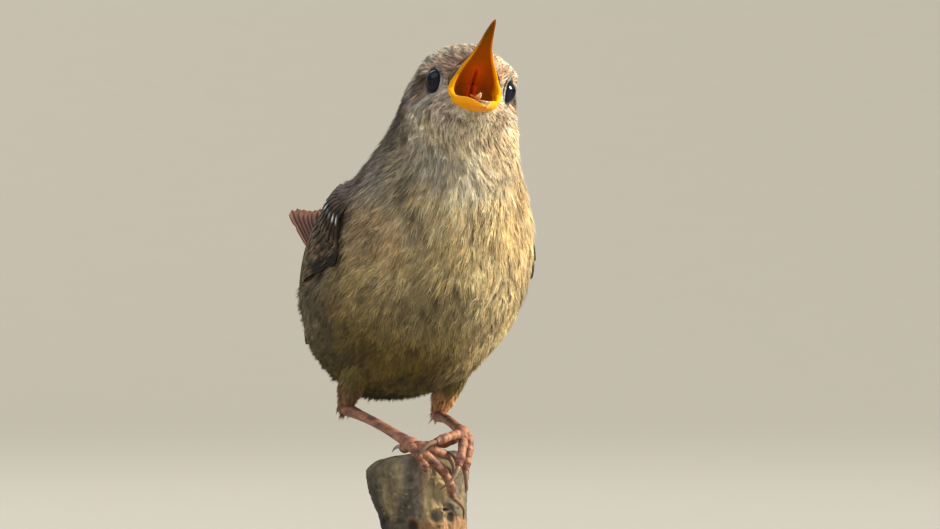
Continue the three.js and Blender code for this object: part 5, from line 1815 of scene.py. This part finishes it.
class WREN_OT_stand(Operator):
    """Turned wooden base and the brass rod that holds the stick"""

    bl_idname = "wren.stand"
    bl_label = "Stand"

    def execute(self, context):
        colours = palette(context.scene.wren_perch)
        varnish = {"Specular_IOR_Level": 0.18, "Coat_Weight": 0.03, "Coat_Roughness": 0.5}
        wood = tinted("stand_wood", 0.78, 0.85, 420, 0.15, 0.0002, stretch=(1, 0.05, 0.5), **varnish)
        brass = tinted("brass", 0.24, 0.06, 500, 0.05, 0.0001, Metallic=1.0)
        for node, look, material, profile, columns in (
            ("stand_base", "wood", wood, BASE_PROFILE, 160),
            ("stand_rod", "brass", brass, ROD_PROFILE, 64),
        ):
            points, triangles = turned(profile, columns)
            colour = np.tile(colours[look], (len(points), 1))
            show(make_mesh(f"{node}_{look}", points, triangles, colour), material, f"stand_{look}", node)
        return {"FINISHED"}


# Studio


class WREN_OT_studio(Operator):
    """Pale floor, soft lights and the camera at the photograph's angle"""

    bl_idname = "wren.studio"
    bl_label = "Studio"

    def execute(self, context):
        studio = context.scene.wren_studio
        self.floor(studio)
        self.world(context, studio)
        right = np.array([math.cos(VIEW_AZIMUTH), math.sin(VIEW_AZIMUTH), 0])
        back = np.array([math.sin(VIEW_AZIMUTH), -math.cos(VIEW_AZIMUTH), 0])
        for name, kind, (aside, near, high), size, power, colour in (
            ("key", "SUN", (1.25, 0.15, 0.64), 0.31, studio.key, (1.0, 0.89, 0.66)),
            ("fill", "AREA", (-1.0, 0.7, 1.5), 1.6, studio.fill, (0.9, 0.94, 1.0)),
            ("rim", "AREA", (-0.3, -1.2, 1.2), 1.2, studio.fill, (1.0, 0.95, 0.88)),
        ):
            place = aside * right + near * back + np.array([0, 0, high])
            self.light(name, kind, place, size, power, colour)
        context.scene.view_settings.view_transform = "Standard"
        self.camera(context, back)
        return {"FINISHED"}

    def floor(self, studio):
        """Floor: a disc that curves up into a far low wall, a profile carried round the Z axis and left open
        at the top, with its faces turned up."""
        points, triangles = turned(FLOOR_PROFILE, 96)
        points = points - np.array([0, 0, 0.02])
        triangles = triangles[(triangles != len(points) - 1).all(1)]
        a, b, c = (points[triangles[:, k]] for k in range(3))
        if np.cross(b - a, c - a)[:, 2].sum() < 0:
            triangles = triangles[:, ::-1]
        far = smooth(np.hypot(points[:, 0], points[:, 1]), 1500, 6000)
        floor = make_mesh("floor", points, triangles, mix(studio.floor, studio.wall, far))
        floor.data.materials.append(tinted("floor_paper", 0.9, 0.02, 40, 0.0, 0.001))

    def world(self, context, studio):
        """Faint cool light all round."""
        world = bpy.data.worlds.new("studio")
        world.use_nodes = True
        sky = world.node_tree.nodes["Background"]
        sky.inputs["Color"].default_value = (0.93, 0.96, 1.0, 1)
        sky.inputs["Strength"].default_value = studio.world
        context.scene.world = world

    def light(self, name, kind, place, size, power, colour):
        """Lamp aimed at the bird: a far one, whose size is its angle, or a disk."""
        data = bpy.data.lights.new(name, kind)
        if kind == "SUN":
            data.angle = size
        else:
            data.shape = "DISK"
            data.size = size
        data.energy = power
        data.color = colour
        lamp = bpy.data.objects.new(name, data)
        target = Vector(VIEW_TARGET)
        lamp.location = Vector(place) + target
        lamp.rotation_euler = (target - lamp.location).to_track_quat("-Z", "Y").to_euler()
        bpy.context.scene.collection.objects.link(lamp)

    def camera(self, context, back):
        """Camera at the photograph's angle, looking level at the bird."""
        data = bpy.data.cameras.new("camera")
        data.lens = VIEW_LENS
        data.sensor_width = 36
        data.clip_start = 0.01
        data.clip_end = 100
        camera = bpy.data.objects.new("camera", data)
        camera.location = Vector(VIEW_TARGET) + Vector(back) * VIEW_DISTANCE
        camera.rotation_euler = (-Vector(back)).to_track_quat("-Z", "Y").to_euler()
        context.scene.collection.objects.link(camera)
        context.scene.camera = camera


OPERATORS = (
    WREN_OT_skin,
    WREN_OT_coat,
    WREN_OT_wings,
    WREN_OT_tail,
    WREN_OT_eyes,
    WREN_OT_bill,
    WREN_OT_legs,
    WREN_OT_perch,
    WREN_OT_stand,
    WREN_OT_studio,
)
GROUPS = {
    "wren_plumage": WrenPlumage,
    "wren_flight": WrenFlight,
    "wren_face": WrenFace,
    "wren_legs": WrenLegs,
    "wren_perch": WrenPerch,
    "wren_studio": WrenStudio,
}


class WREN_PT_panel(Panel):
    """Sizes, colours and pieces of the wren"""

    bl_label = "Singing Wren"
    bl_idname = "WREN_PT_panel"
    bl_space_type = "VIEW_3D"
    bl_region_type = "UI"
    bl_category = "Wren"

    def draw(self, context):
        for operator in OPERATORS:
            self.layout.operator(operator.bl_idname)
        for name, group in GROUPS.items():
            box = self.layout.box()
            box.label(text=name.replace("_", " ").title())
            for key in group.__annotations__:
                box.prop(getattr(context.scene, name), key)


def register():
    """Registers the property groups, the operators and the panel."""
    for name, group in GROUPS.items():
        bpy.utils.register_class(group)
        setattr(bpy.types.Scene, name, PointerProperty(type=group))
    for operator in OPERATORS:
        bpy.utils.register_class(operator)
    bpy.utils.register_class(WREN_PT_panel)


def unregister():
    """Takes all of them out again, last one first."""
    bpy.utils.unregister_class(WREN_PT_panel)
    for operator in reversed(OPERATORS):
        bpy.utils.unregister_class(operator)
    for name, group in reversed(GROUPS.items()):
        delattr(bpy.types.Scene, name)
        bpy.utils.unregister_class(group)


def main():
    """Registers the classes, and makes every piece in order."""
    register()
    for operator in OPERATORS:
        group, name = operator.bl_idname.split(".")
        if getattr(getattr(bpy.ops, group), name)() != {"FINISHED"}:
            raise RuntimeError(f"{operator.bl_label} wasn't made")


if __name__ == "__main__":
    main()
